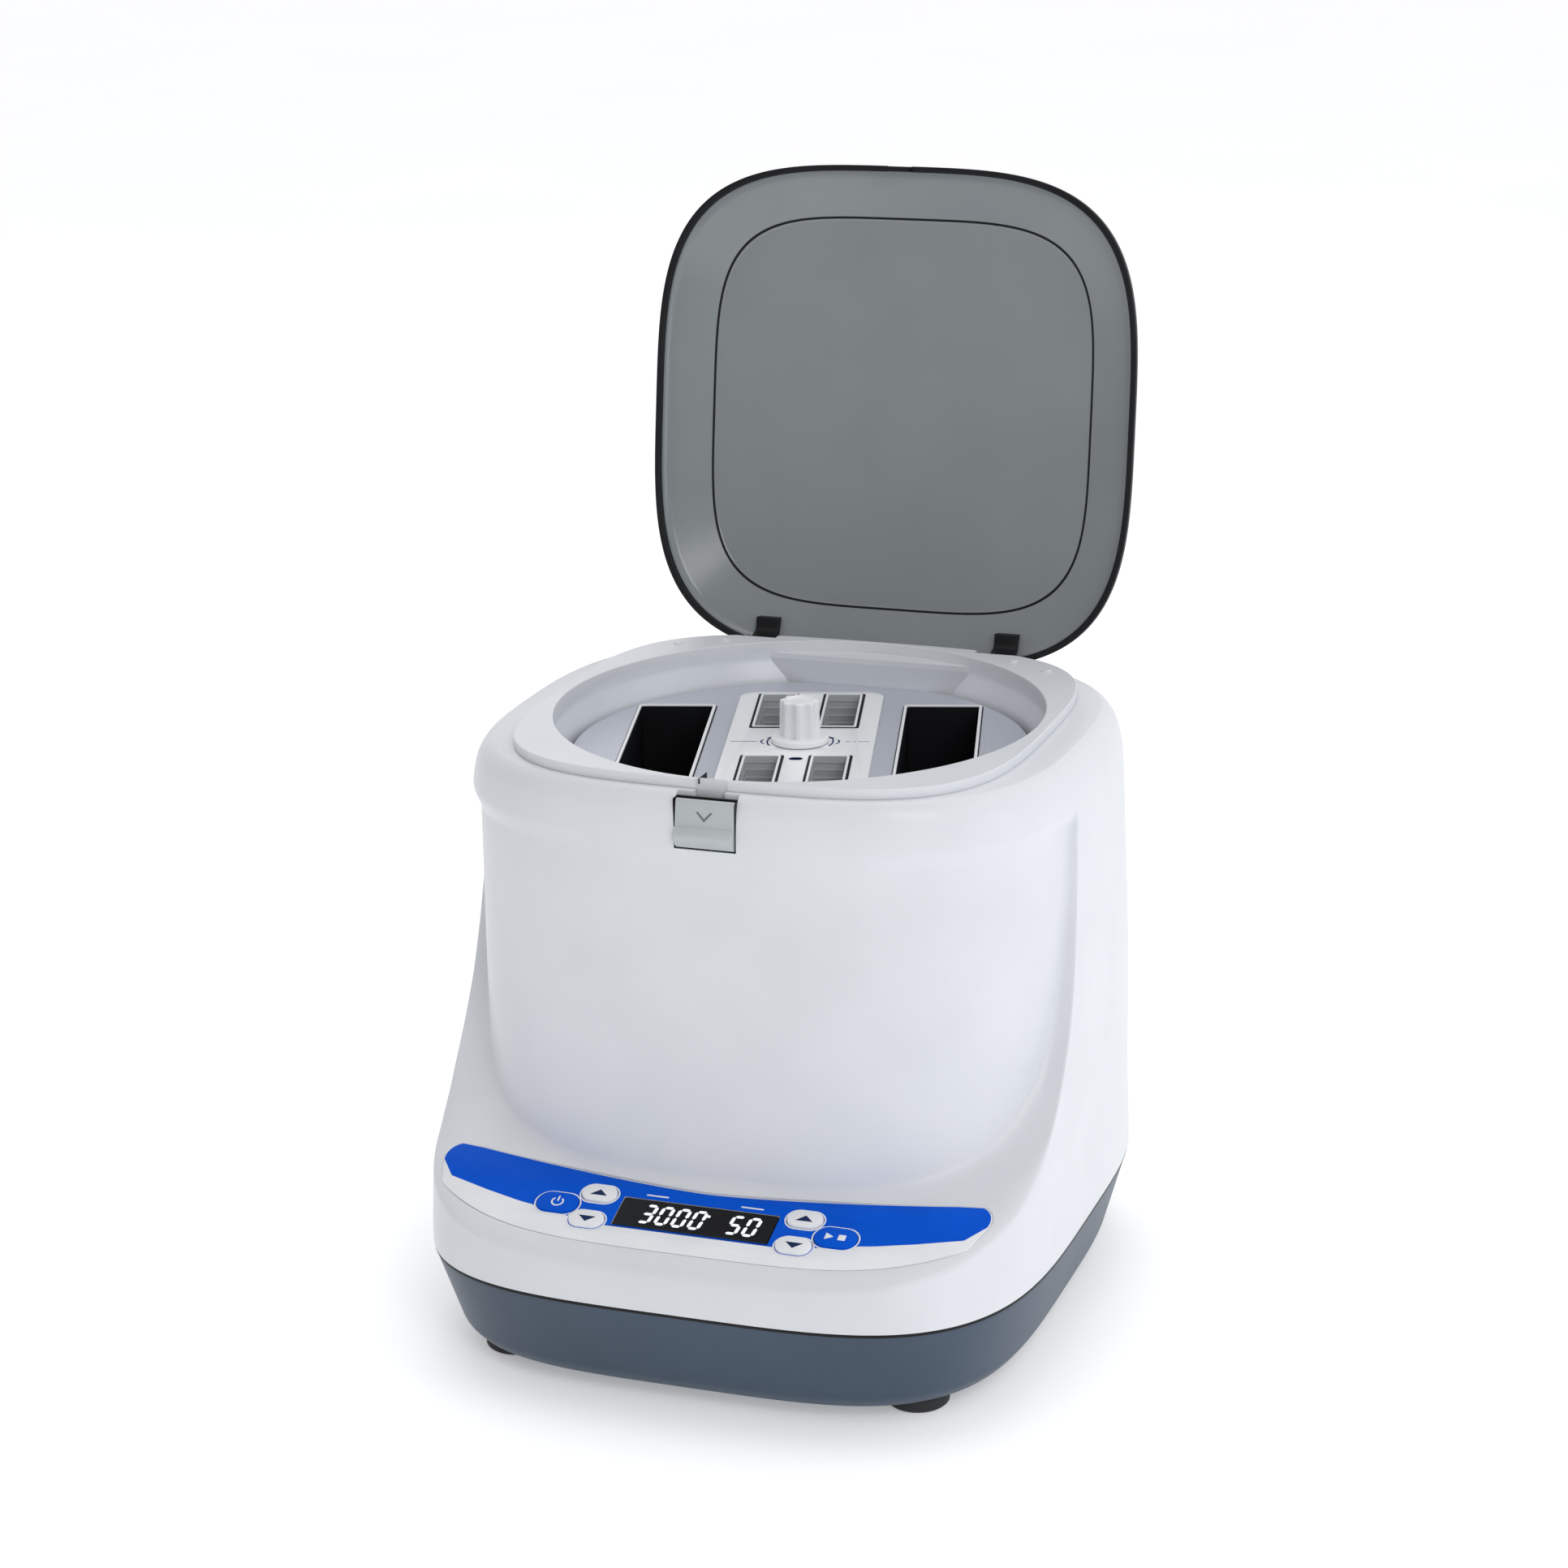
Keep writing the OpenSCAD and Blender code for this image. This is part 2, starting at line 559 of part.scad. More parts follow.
module power_switch() color("#141517") placed() translate([switch_x, rear_flat_y - 2, rear_flat_z])
    rotate([switch_tilt, 0, 0]) rotate([0, 90, 0]) intersection() {
        cylinder(r = 9.4, h = 12.4, center = true);
        translate([-9.4, -8, -10]) cube([18.8, 11, 20]);
    }

// ---------- hinge ----------

module hinge_brackets() color("#26282b") placed() difference() {
    for (sx = [-1, 1]) translate([sx * hinge_x, 0, 0]) {
        for (s = [-1, 1]) centred_box([ear_w, 10, hinge_z - trough_z + 3],
            [s * (bracket_w - ear_w) / 2, hinge_y, trough_z - eps]);
        centred_box([bracket_w, 20, bracket_base], [0, hinge_y - 2.5, trough_z - bracket_base]);
    }
    translate([0, hinge_y, hinge_z]) rotate([0, 90, 0]) cylinder(r = pin_r, h = 2 * body_a, center = true);
    for (sx = [-1, 1]) translate([sx * hinge_x, hinge_y - 8.5, trough_z - 10]) cylinder(r = screw_r, h = 20);
}

module hinge_pins() color("silver") placed() for (sx = [-1, 1]) translate([sx * hinge_x, hinge_y, hinge_z])
    rotate([0, 90, 0]) cylinder(r = pin_r, h = bracket_w, center = true);

module hinge_screws() color("silver") placed() for (sx = [-1, 1])
    translate([sx * hinge_x, hinge_y - 8.5, trough_z]) screw(2.6, 1.6, screw_r, 6);

// The rear edge curves away from the hinge line at the arms
edge_curve = lid_b * (1 - pow(1 - pow((hinge_x + arm_w / 2) / lid_a, lid_n), 1 / lid_n));
// Height of the roof's underside over the arms, a distance in front of the hinge line
function roof_under(d) = lid_wall_z + lid_edge + (hinge_inset - edge_curve + d - 2 - lid_wall)
    * (seat_z + lid_rise - lid_wall_z - lid_edge) / (lid_band - 2 - lid_wall / 2);

// A curved arm: it rises in front of the hinge line, over the chamber's ring
module hinge_arm(sx) color("#1c1d20") lid_frame() difference() {
    union() {
        translate([sx * hinge_x, hinge_y, hinge_z]) rotate([0, 90, 0]) cylinder(r = knuckle_r, h = arm_w, center = true);
        translate([sx * hinge_x - arm_w / 2, hinge_y, 0]) rotate([90, 0, 90]) linear_extrude(arm_w) polygon([
            [-arm_l, ring_z + 0.5], [-arm_rise, ring_z + 0.5], [-arm_rise + 3, hinge_z + 1], [1, hinge_z + 1],
            [1, lid_wall_z - 2], [-2, roof_under(2) - 0.1], [-arm_l, roof_under(arm_l) - 0.1]]);
    }
    translate([sx * hinge_x, hinge_y, hinge_z]) rotate([0, 90, 0])
        cylinder(r = pin_r + run_fit, h = arm_w + 2, center = true);
    translate([sx * hinge_x, hinge_y - arm_l + 3.5, hinge_z]) cylinder(r = 1.5, h = 30);
}
arm_l = 14;
arm_rise = 7.4;                   // the arm is clear of the ring in front of this
module hinge_arm_left() hinge_arm(-1);
module hinge_arm_right() hinge_arm(1);

module hinge_arm_screws() color("silver") lid_frame() for (sx = [-1, 1])
    translate([sx * hinge_x, hinge_y - arm_l + 3.5, roof_under(arm_l) - 4.2]) cylinder(r = 1.5, h = 4);

// ---------- lid ----------

lid_wall_z = ring_z + gap;        // the lid's upright wall clears the ring
lid_edge = 2.5;

function lid_levels(w, base_z) = [
    level(lid_a - w, lid_y - lid_b + w, lid_y + lid_b - w, lid_n, base_z),
    level(lid_a - w, lid_y - lid_b + w, lid_y + lid_b - w, lid_n, lid_wall_z),
    level(lid_a - 2 - w, lid_y - lid_b + 2 + w, lid_y + lid_b - 2 - w, lid_n, lid_wall_z + lid_edge),
    level(lid_a - lid_band - w / 2, lid_y - lid_b + lid_band + w / 2, lid_y + lid_b - lid_band - w / 2,
        4.1, seat_z + lid_rise + lid_wall - w),
    level(lid_a - lid_band - 30, lid_y - lid_b + lid_band + 30, lid_y + lid_b - lid_band - 30, 3,
        seat_z + lid_rise + lid_wall - w + 2),
    level(20, lid_y - 20, lid_y + 20, 2, seat_z + lid_rise + lid_wall - w + 3)];

// Notches in the lid's rim for the hinge brackets and the latch hook
module lid_notches() {
    for (sx = [-1, 1]) centred_box([bracket_w + 2 * gap, 14, 7], [sx * hinge_x, hinge_y + 1, seat_z - 1]);
    centred_box([hook_w + 0.4, 6, hook_root + 1.1], [0, hook_front + 1, seat_z - 1]);
}

module lid_shell() color(smoke) lid_frame() difference() {
    loft(lid_levels(0, seat_z + gap + 1.6));
    loft(lid_levels(lid_wall, seat_z - 1));
    lid_notches();
}

module lid_rim_trim() color("#101113") lid_frame() difference() {
    translate([0, 0, seat_z + gap]) linear_extrude(1.6) difference() {
        polygon(soft(lid_a, lid_b, lid_n, lid_y));
        polygon(soft(lid_a - lid_wall, lid_b - lid_wall, lid_n, lid_y));
    }
    lid_notches();
}

// Short hook that drops behind the latch button; a bolt slides into the notch in its side
module latch_hook() color("#1c1d20") lid_frame() difference() {
    centred_box([hook_w, hook_t, hook_len + hook_root], [0, hook_front + hook_t / 2, seat_z - hook_len]);
    translate([hook_w / 2 - notch_depth, hook_front - 1, seat_z - hook_len + 2]) cube([10, hook_t + 2, notch_h]);
}

// ---------- latch ----------

module latch_frame() color("#101113") placed() difference() {
    centred_box([latch_w + 2 * wall - 2 * eps, 5, latch_h + 2 * wall - 2], [0, latch_front + 5.5, latch_bottom - wall + eps]);
    centred_box([latch_w + 2 * latch_gap, 20, latch_h + 2], [0, latch_front + 5, latch_bottom - 1.2]);
}

module latch_button() color("#aab0b0") placed() translate([-latch_w / 2, latch_front, latch_bottom])
    rotate([90, 0, 90]) linear_extrude(latch_w) polygon([
        [0.4, 0], [5, 0], [5, latch_h - 2], [4, latch_h], [2.6, latch_h], [0.6, latch_h * 0.5],
        [1.4, latch_h * 0.46], [0, latch_h * 0.3], [0, 1]]);

module latch_bolt() color("silver") placed()
    translate([bolt_x, hook_front + run_gap, bolt_z]) cube([bolt_l, hook_t - 2 * run_gap, bolt_h]);

// Leaf spring that pushes the bolt back; it stands beyond the bolt's travel
module latch_spring() color("silver") placed() {
    spring_x = bolt_x + bolt_l + bolt_travel + run_gap;
    translate([spring_x, hook_front + 0.2, bolt_z - 12]) cube([0.8, hook_t - 0.4, 13]);
    translate([spring_x, hook_front + 0.2, bolt_z - 12]) cube([7, hook_t - 0.4, 0.8]);
}

module lock_solenoid() color("goldenrod") placed() {
    centred_box([24, 11, 14], [-36, drum_front_top + 11.5, seat_z - 44]);
    translate([-24 - eps, drum_front_top + 11.5, seat_z - 37]) rotate([0, 90, 0]) cylinder(r = 2.5, h = 8);
}

// It stands against the drum's curved wall
module lid_switch() color("#303236") placed() {
    centred_box([18, 5, 9], [46, drum_inside(50) + 4.195, seat_z - 18]);
    centred_box([12, 4, 0.6], [44, drum_inside(50) + 4.195, seat_z - 9 - eps]);
}

// They stand on the ring, a set way out from the mouth
module lid_bumpers() color("white") placed()
    for (sx = [-1, 1], p = [[98, 91.2], [77, 104.2]]) let (q = p * (norm(p) - 119 + mouth) / norm(p))
        translate([sx * q[0], bowl_y + q[1], ring_z - eps]) cylinder(r = 2.4, h = 1);

// ---------- rotor ----------

module motor_shaft() color("silver") rotor_frame() {
    translate([0, 0, motor_z + 8]) cylinder(r = shaft_r, h = rotor_z - disc_t - 10 - motor_z - 8);
    translate([0, 0, rotor_z - disc_t - 10 - eps]) cylinder(r = stud_r, h = shaft_top_z - rotor_z + disc_t + 10);
}

module rotor_hub() color("lightsteelblue") rotor_frame() difference() {
    rotate_extrude() polygon([[0, bowl_floor_z + 6], [hub_r - 4, bowl_floor_z + 6], [hub_r, bowl_floor_z + 12],
        [hub_r, rotor_z - disc_t], [0, rotor_z - disc_t]]);
    translate([0, 0, bowl_floor_z]) cylinder(r = shaft_r, h = rotor_z - disc_t - 10 - bowl_floor_z);
    cylinder(r = stud_r, h = rotor_z + 10);
    for (a = [45:90:315]) rotate([0, 0, a]) translate([11, 0, rotor_z - 16]) cylinder(r = 1.5, h = 20);
}

module rotor_disc() color("lightgray") rotor_frame() difference() {
    union() {
        translate([0, 0, rotor_z - disc_t]) cylinder(r = rotor_r, h = disc_t, $fn = 96);
        translate([0, 0, rotor_z - 12]) difference() {
            cylinder(r = rotor_r - 1, h = 10, $fn = 96);
            translate([0, 0, -1]) cylinder(r = rotor_r - 3, h = 12, $fn = 96);
        }
    }
    for (sx = [-1, 1]) centred_box([pocket_w + 2 * pocket_wall + 0.2, pocket_l + 2 * pocket_wall + 0.2, 30],
        [sx * pocket_x, 0, rotor_z - 15]);
    // One opening for each pair of trays
    for (sy = [-1, 1]) centred_box([2 * window_x + window_w + 3.4, window_l + 3.4, 30],
        [0, sy * window_y, rotor_z - 15]);
    translate([0, 0, rotor_z - 5]) cylinder(r = stud_r + 0.2, h = 10);
    for (a = [45:90:315]) rotate([0, 0, a]) translate([11, 0, rotor_z - 5]) cylinder(r = 1.5, h = 20);
}

module window(sx, sy, clear, h, z) {
    centred_box([window_w + 2 * clear, window_l + 2 * clear, h], [sx * window_x, sy * window_y, z]);
}
module windows(clear, h, z) {
    for (sx = [-1, 1], sy = [-1, 1]) window(sx, sy, clear, h, z);
}

module plate_pocket(sx) color("#16171a") rotor_frame() difference() {
    union() {
        centred_box([pocket_w + 2 * pocket_wall, pocket_l + 2 * pocket_wall, pocket_depth + pocket_wall + lip_t],
            [sx * pocket_x, 0, rotor_z - pocket_depth - pocket_wall]);
        translate([sx * pocket_x, 0, rotor_z + eps]) linear_extrude(lip_t) rounded(pocket_w + 2 * lip_w, pocket_l + 2 * lip_w, 5);
    }
    centred_box([pocket_w, pocket_l, pocket_depth + 20], [sx * pocket_x, 0, rotor_z - pocket_depth]);
    // The lip stops short of the disc's edge and of the centre plate
    translate([0, 0, rotor_z]) difference() {
        cylinder(r = rotor_r + 30, h = 5);
        translate([0, 0, -1]) cylinder(r = rotor_r - 0.6, h = 8);
    }
}
module plate_pocket_left() plate_pocket(-1);
module plate_pocket_right() plate_pocket(1);

module centre_plate() color("white") rotor_frame() difference() {
    translate([0, 0, rotor_z + eps]) linear_extrude(plate_t) rounded(plate_w, plate_l, 9);
    windows(0, 30, rotor_z - 15);
    translate([0, 0, rotor_z - 1]) cylinder(r = stud_r + 0.2, h = 10);
    for (a = [45:90:315]) rotate([0, 0, a]) translate([11, 0, rotor_z - 1]) cylinder(r = 1.5, h = 20);
}

// Tray under one window of the centre plate
module strip_tray(sx, sy) color("gray") rotor_frame() difference() {
    window(sx, sy, 1.5, tray_depth, rotor_z - tray_depth);
    window(sx, sy, 0, tray_depth + 10, rotor_z - tray_depth + 1.5);
}
module strip_tray_left_front() strip_tray(-1, -1);
module strip_tray_left_rear() strip_tray(-1, 1);
module strip_tray_right_front() strip_tray(1, -1);
module strip_tray_right_rear() strip_tray(1, 1);

module rotor_screws() color("silver") rotor_frame() for (a = [45:90:315]) rotate([0, 0, a])
    translate([11, 0, rotor_z + plate_t + eps - 1.3]) cylinder(r = 1.5, h = 1.3);

module rotor_knob() color("white") rotor_frame() difference() {
    union() {
        translate([0, 0, rotor_z + plate_t + 0.3]) cylinder(r = knob_flange_r, h = 3);
        translate([0, 0, rotor_z + plate_t + 0.3]) cylinder(r = knob_r - 1.4, h = knob_h - 1);
        for (a = [0:45:315]) rotate([0, 0, a]) translate([knob_r - 2.6, 0, rotor_z + plate_t + 0.3])
            cylinder(r = 2.6, h = knob_h - 2);
    }
    translate([0, 0, rotor_z]) cylinder(r = stud_r + run_fit, h = shaft_top_z - rotor_z + 0.5);
}

upper_housing();
base_pan();
rubber_feet();
foot_screws();
housing_screws();
chamber_ring();
chamber_bowl();
shaft_boot();
motor_body();
motor_plate();
motor_dampers();
motor_screws();
control_membrane();
display_window();
display_module();
control_board();
board_screws();
power_board();
power_board_screws();
power_inlet();
fuse_drawer();
hinge_brackets();
hinge_pins();
hinge_screws();
latch_frame();
lock_solenoid();
lid_switch();
lid_bumpers();
motor_shaft();
rotor_hub();
rotor_disc();
plate_pocket_left();
plate_pocket_right();
centre_plate();
strip_tray_left_front();
strip_tray_left_rear();
strip_tray_right_front();
strip_tray_right_rear();
rotor_screws();
rotor_knob();
lid_shell();
lid_rim_trim();
hinge_arm_left();
hinge_arm_right();
hinge_arm_screws();
latch_hook();
latch_button();
latch_bolt();
latch_spring();
key_power();
key_up_left();
key_down_left();
key_up_right();
key_down_right();
key_start();
power_switch();
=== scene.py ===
# Looks of a benchtop plate centrifuge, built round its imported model.
# Working units are millimetres in the machine's own frame: x to the right, y to the
# back from the middle of the base, z up from the foot bottoms. MACHINE turns them to metres.
import json
import math

import bmesh
import bpy
import numpy as np
from mathutils import Matrix, Vector


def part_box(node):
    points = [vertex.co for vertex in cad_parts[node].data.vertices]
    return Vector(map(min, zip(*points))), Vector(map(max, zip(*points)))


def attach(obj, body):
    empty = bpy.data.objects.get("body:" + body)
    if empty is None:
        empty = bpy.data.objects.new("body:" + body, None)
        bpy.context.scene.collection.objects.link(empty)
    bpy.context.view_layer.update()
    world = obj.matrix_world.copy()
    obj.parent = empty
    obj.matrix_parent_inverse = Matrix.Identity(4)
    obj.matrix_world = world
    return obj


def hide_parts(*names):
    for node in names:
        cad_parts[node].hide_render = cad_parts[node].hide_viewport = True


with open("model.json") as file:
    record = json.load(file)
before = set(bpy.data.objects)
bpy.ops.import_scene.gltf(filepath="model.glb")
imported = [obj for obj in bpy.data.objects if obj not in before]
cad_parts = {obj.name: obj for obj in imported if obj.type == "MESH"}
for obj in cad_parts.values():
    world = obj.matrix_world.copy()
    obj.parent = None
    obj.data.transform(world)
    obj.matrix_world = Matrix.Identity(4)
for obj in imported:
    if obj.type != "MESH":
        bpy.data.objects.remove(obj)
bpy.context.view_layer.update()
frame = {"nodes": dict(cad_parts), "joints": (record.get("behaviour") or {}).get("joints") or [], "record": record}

# ---------- sizes ----------

MM = 0.001
PAN_LOW, PAN_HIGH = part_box("base_pan")
BASE_Y = (PAN_LOW.y + PAN_HIGH.y) / 2          # the machine frame's y = 0, in metres
HINGE = next(j for j in frame["joints"] if j["name"] == "lid_hinge")
HINGE_Y = (HINGE["pos_m"][1] - BASE_Y) / MM
HINGE_Z = HINGE["pos_m"][2] / MM
LID_OPEN = HINGE["range_deg"][1]
SPINDLE = next(j for j in frame["joints"] if j["name"] == "rotor_spin")
AXIS_Y = (SPINDLE["pos_m"][1] - BASE_Y) / MM
ROTOR_ANGLE = 15

SPLIT_Z = 52.5
SEAT_Z = 283.0
RING_Z = 288.0
ROTOR_Z = 268.5
PANEL_Y, PANEL_Z, PANEL_SLOPE = -121.8, 88.5, 18.3
WALL = 3.0

# ---------- frames ----------


def moved(x=0.0, y=0.0, z=0.0):
    return Matrix.Translation((x, y, z))


def turned(degrees, axis):
    return Matrix.Rotation(math.radians(degrees), 4, axis)


MACHINE = moved(0, BASE_Y, 0) @ Matrix.Scale(MM, 4)
PANEL = MACHINE @ moved(0, PANEL_Y, PANEL_Z) @ turned(PANEL_SLOPE, "X")
ROTOR = MACHINE @ moved(0, AXIS_Y, 0) @ turned(ROTOR_ANGLE, "Z")
# What is drawn shut is turned up round the hinge line
LID = (MACHINE @ moved(0, HINGE_Y, HINGE_Z) @ turned(-LID_OPEN, "X")
       @ moved(0, -HINGE_Y, -HINGE_Z))

# ---------- finishes ----------


def colour(code):
    """sRGB hex to a linear colour."""
    def linear(v):
        return v / 12.92 if v <= 0.04045 else ((v + 0.055) / 1.055) ** 2.4
    return (*(linear(int(code[i:i + 2], 16) / 255) for i in (0, 2, 4)), 1.0)


def add(tree, kind, inputs=(), stops=(), **settings):
    """Adds one node: settings are its properties, inputs its socket values or links."""
    node = tree.nodes.new("ShaderNode" + kind)
    for key, value in settings.items():
        setattr(node, key, value)
    for key, value in dict(inputs).items():
        if isinstance(value, bpy.types.NodeSocket):
            tree.links.new(value, node.inputs[key])
        else:
            node.inputs[key].default_value = value
    if stops:
        ramp = node.color_ramp.elements
        for place, shade in stops[2:]:
            ramp.new(place)
        for element, (place, shade) in zip(ramp, stops):
            element.position, element.color = place, shade
    return node


def new_finish(name, shader_inputs, tree_maker=None):
    """A material whose shader takes constants, and what tree_maker links to it."""
    material = bpy.data.materials.new(name)
    material.use_nodes = True
    tree = material.node_tree
    tree.nodes.clear()
    linked = tree_maker(tree) if tree_maker else {}
    shader = add(tree, "BsdfPrincipled", {**shader_inputs, **linked})
    add(tree, "OutputMaterial", {"Surface": shader.outputs["BSDF"]})
    material.diffuse_color = (*tuple(shader_inputs.get("Base Color", (0.5, 0.5, 0.5, 1)))[:3], 1)
    return material


def moulded(light, dark, grain_mm, depth, rough, spread=0.05, patch_mm=60):
    """Tool-textured plastic: a fine even grain, and slow drifts of tone from the moulding."""
    def make(tree):
        at = add(tree, "TexCoord").outputs["Object"]
        drift = add(tree, "TexNoise", {"Vector": at, "Scale": 1000 / patch_mm, "Detail": 3.0,
                                       "Roughness": 0.55}).outputs["Fac"]
        grain = add(tree, "TexNoise", {"Vector": at, "Scale": 1000 / grain_mm, "Detail": 2.0,
                                       "Roughness": 0.6}).outputs["Fac"]
        tone = add(tree, "ValToRGB", {"Fac": drift}, stops=((0.3, dark), (0.7, light)))
        gloss = add(tree, "MapRange", {"Value": grain, "To Min": rough - spread,
                                       "To Max": rough + spread})
        bump = add(tree, "Bump", {"Height": grain, "Strength": depth, "Distance": 0.0002})
        return {"Base Color": tone.outputs["Color"], "Roughness": gloss.outputs["Result"],
                "Normal": bump.outputs["Normal"]}
    return make


def satin_white_abs():
    # Injection-moulded ABS with a fine spark-eroded texture: cool white, a soft broad sheen
    return new_finish("satin_white_abs", {"IOR": 1.53, "Specular IOR Level": 0.3},
                      moulded(colour("dddfe3"), colour("d7dade"), 0.7, 0.10, 0.34))


def textured_slate_abs():
    # The same plastic dyed slate grey and textured more coarsely: no sharp highlight
    return new_finish("textured_slate_abs", {"IOR": 1.53, "Specular IOR Level": 0.5},
                      moulded(colour("34465a"), colour("2e4052"), 1.1, 0.35, 0.42))


def bowl_polypropylene():
    # Deep-drawn grey polypropylene: waxy, with faint rings left by the forming tool
    def make(tree):
        at = add(tree, "TexCoord").outputs["Object"]
        split = add(tree, "SeparateXYZ", {"Vector": at})
        rings = add(tree, "Math", {0: split.outputs["Z"], 1: 2 * math.pi / (4 * MM)},
                    operation="MULTIPLY")
        wave = add(tree, "Math", {0: rings.outputs[0]}, operation="SINE")
        patch = add(tree, "TexNoise", {"Vector": at, "Scale": 22.0, "Detail": 3.0}).outputs["Fac"]
        tone = add(tree, "ValToRGB", {"Fac": patch},
                   stops=((0.3, colour("d6d9de")), (0.7, colour("dee1e6"))))
        bump = add(tree, "Bump", {"Height": wave.outputs[0], "Strength": 0.05, "Distance": 0.0002})
        return {"Base Color": tone.outputs["Color"], "Normal": bump.outputs["Normal"]}
    return new_finish("bowl_polypropylene", {"Roughness": 0.3, "IOR": 1.49}, make)


def rotor_anodised():
    # Anodised aluminium sheet, turned on a lathe: hair lines run round the spindle
    def make(tree):
        at = add(tree, "TexCoord").outputs["Object"]
        shift = add(tree, "Mapping", {"Vector": at,
                                      "Location": (0, -(BASE_Y + AXIS_Y * MM), 0)})
        split = add(tree, "SeparateXYZ", {"Vector": shift.outputs["Vector"]})
        flat = add(tree, "CombineXYZ", {"X": split.outputs["X"], "Y": split.outputs["Y"]})
        radius = add(tree, "VectorMath", {0: flat.outputs["Vector"]}, operation="LENGTH")
        lines = add(tree, "TexNoise", {"W": radius.outputs["Value"], "Scale": 1000 / 0.9,
                                       "Detail": 2.0}, noise_dimensions="1D").outputs["Fac"]
        tone = add(tree, "ValToRGB", {"Fac": lines},
                   stops=((0.3, colour("b9bec9")), (0.7, colour("c5c9d3"))))
        gloss = add(tree, "MapRange", {"Value": lines, "To Min": 0.34, "To Max": 0.46})
        bump = add(tree, "Bump", {"Height": lines, "Strength": 0.06, "Distance": 0.0001})
        return {"Base Color": tone.outputs["Color"], "Roughness": gloss.outputs["Result"],
                "Normal": bump.outputs["Normal"]}
    return new_finish("rotor_anodised", {"Metallic": 0.25}, make)


def black_moulded(name, light, dark, rough):
    # Glass-filled nylon straight from the mould: near black, with a dry dull bloom
    return new_finish(name, {"IOR": 1.53, "Specular IOR Level": 0.2},
                      moulded(colour(light), colour(dark), 0.9, 0.2, rough))


def foot_rubber():
    # Compression-moulded rubber: matt, faintly dusty
    return new_finish("foot_rubber", {"IOR": 1.52},
                      moulded(colour("27282a"), colour("191a1c"), 1.4, 0.4, 0.72))


def smoked_polycarbonate():
    # Vacuum-formed smoked sheet: clear body tint, glossy, with the slight orange peel of forming
    def make(tree):
        at = add(tree, "TexCoord").outputs["Object"]
        peel = add(tree, "TexNoise", {"Vector": at, "Scale": 1000 / 9,
                                      "Detail": 1.0}).outputs["Fac"]
        haze = add(tree, "TexNoise", {"Vector": at, "Scale": 1000 / 70,
                                      "Detail": 2.0}).outputs["Fac"]
        tone = add(tree, "ValToRGB", {"Fac": haze},
                   stops=((0.3, colour("8d9395")), (0.7, colour("93999b"))))
        gloss = add(tree, "MapRange", {"Value": haze, "To Min": 0.16, "To Max": 0.22})
        bump = add(tree, "Bump", {"Height": peel, "Strength": 0.03, "Distance": 0.0002})
        return {"Base Color": tone.outputs["Color"], "Roughness": gloss.outputs["Result"],
                "Normal": bump.outputs["Normal"]}
    return new_finish("smoked_polycarbonate",
                      {"IOR": 1.585, "Transmission Weight": 0.22, "Specular IOR Level": 0.4}, make)


def printed_film(name, light, dark):
    # Screen-printed polyester overlay: an even ink under a satin hard coat with a fine tooth
    return new_finish(name, {"IOR": 1.45, "Specular IOR Level": 0.06},
                      moulded(colour(light), colour(dark), 0.5, 0.08, 0.42, 0.03, 25))


def display_acrylic():
    # Cast black acrylic window: deep black, mirror gloss, a few hair scratches
    def make(tree):
        at = add(tree, "TexCoord").outputs["Object"]
        stretch = add(tree, "Mapping", {"Vector": at, "Scale": (120, 1500, 1500)})
        hairs = add(tree, "TexNoise", {"Vector": stretch.outputs["Vector"], "Scale": 1.0,
                                       "Detail": 1.0}).outputs["Fac"]
        tone = add(tree, "ValToRGB", {"Fac": hairs},
                   stops=((0.3, colour("08090b")), (0.75, colour("0d0e11"))))
        gloss = add(tree, "MapRange", {"Value": hairs, "To Min": 0.05, "To Max": 0.12})
        return {"Base Color": tone.outputs["Color"], "Roughness": gloss.outputs["Result"]}
    return new_finish("display_acrylic", {"IOR": 1.49, "Specular IOR Level": 0.2}, make)


def lit_digit():
    # Vacuum fluorescent digit behind the window: evenly lit, with a fine speckle in its tone
    def make(tree):
        at = add(tree, "TexCoord").outputs["Object"]
        dots = add(tree, "TexNoise", {"Vector": at, "Scale": 900.0}).outputs["Fac"]
        tone = add(tree, "ValToRGB", {"Fac": dots},
                   stops=((0.2, colour("e4f0f2")), (0.8, colour("ffffff"))))
        return {"Base Color": tone.outputs["Color"], "Emission Color": tone.outputs["Color"]}
    return new_finish("lit_digit", {"Roughness": 0.4, "Emission Strength": 0.35}, make)


def plated_steel(name="zinc_plated_steel", light="b4b7bb", dark="94979b"):
    # Bright zinc plate over rolled steel: cloudy crystalline patches, fine rolling lines
    def make(tree):
        at = add(tree, "TexCoord").outputs["Object"]
        cells = add(tree, "TexVoronoi", {"Vector": at, "Scale": 1000 / 2.5}).outputs["Color"]
        tone = add(tree, "ValToRGB", {"Fac": cells}, stops=((0.1, colour(dark)),
                (0.9, colour(light))))
        stretch = add(tree, "Mapping", {"Vector": at, "Scale": (3000, 150, 3000)})
        rolls = add(tree, "TexNoise", {"Vector": stretch.outputs["Vector"],
                                       "Scale": 1.0}).outputs["Fac"]
        gloss = add(tree, "MapRange", {"Value": rolls, "To Min": 0.26, "To Max": 0.42})
        bump = add(tree, "Bump", {"Height": rolls, "Strength": 0.08, "Distance": 0.0001})
        return {"Base Color": tone.outputs["Color"], "Roughness": gloss.outputs["Result"],
                "Normal": bump.outputs["Normal"]}
    return new_finish(name, {"Metallic": 1.0}, make)


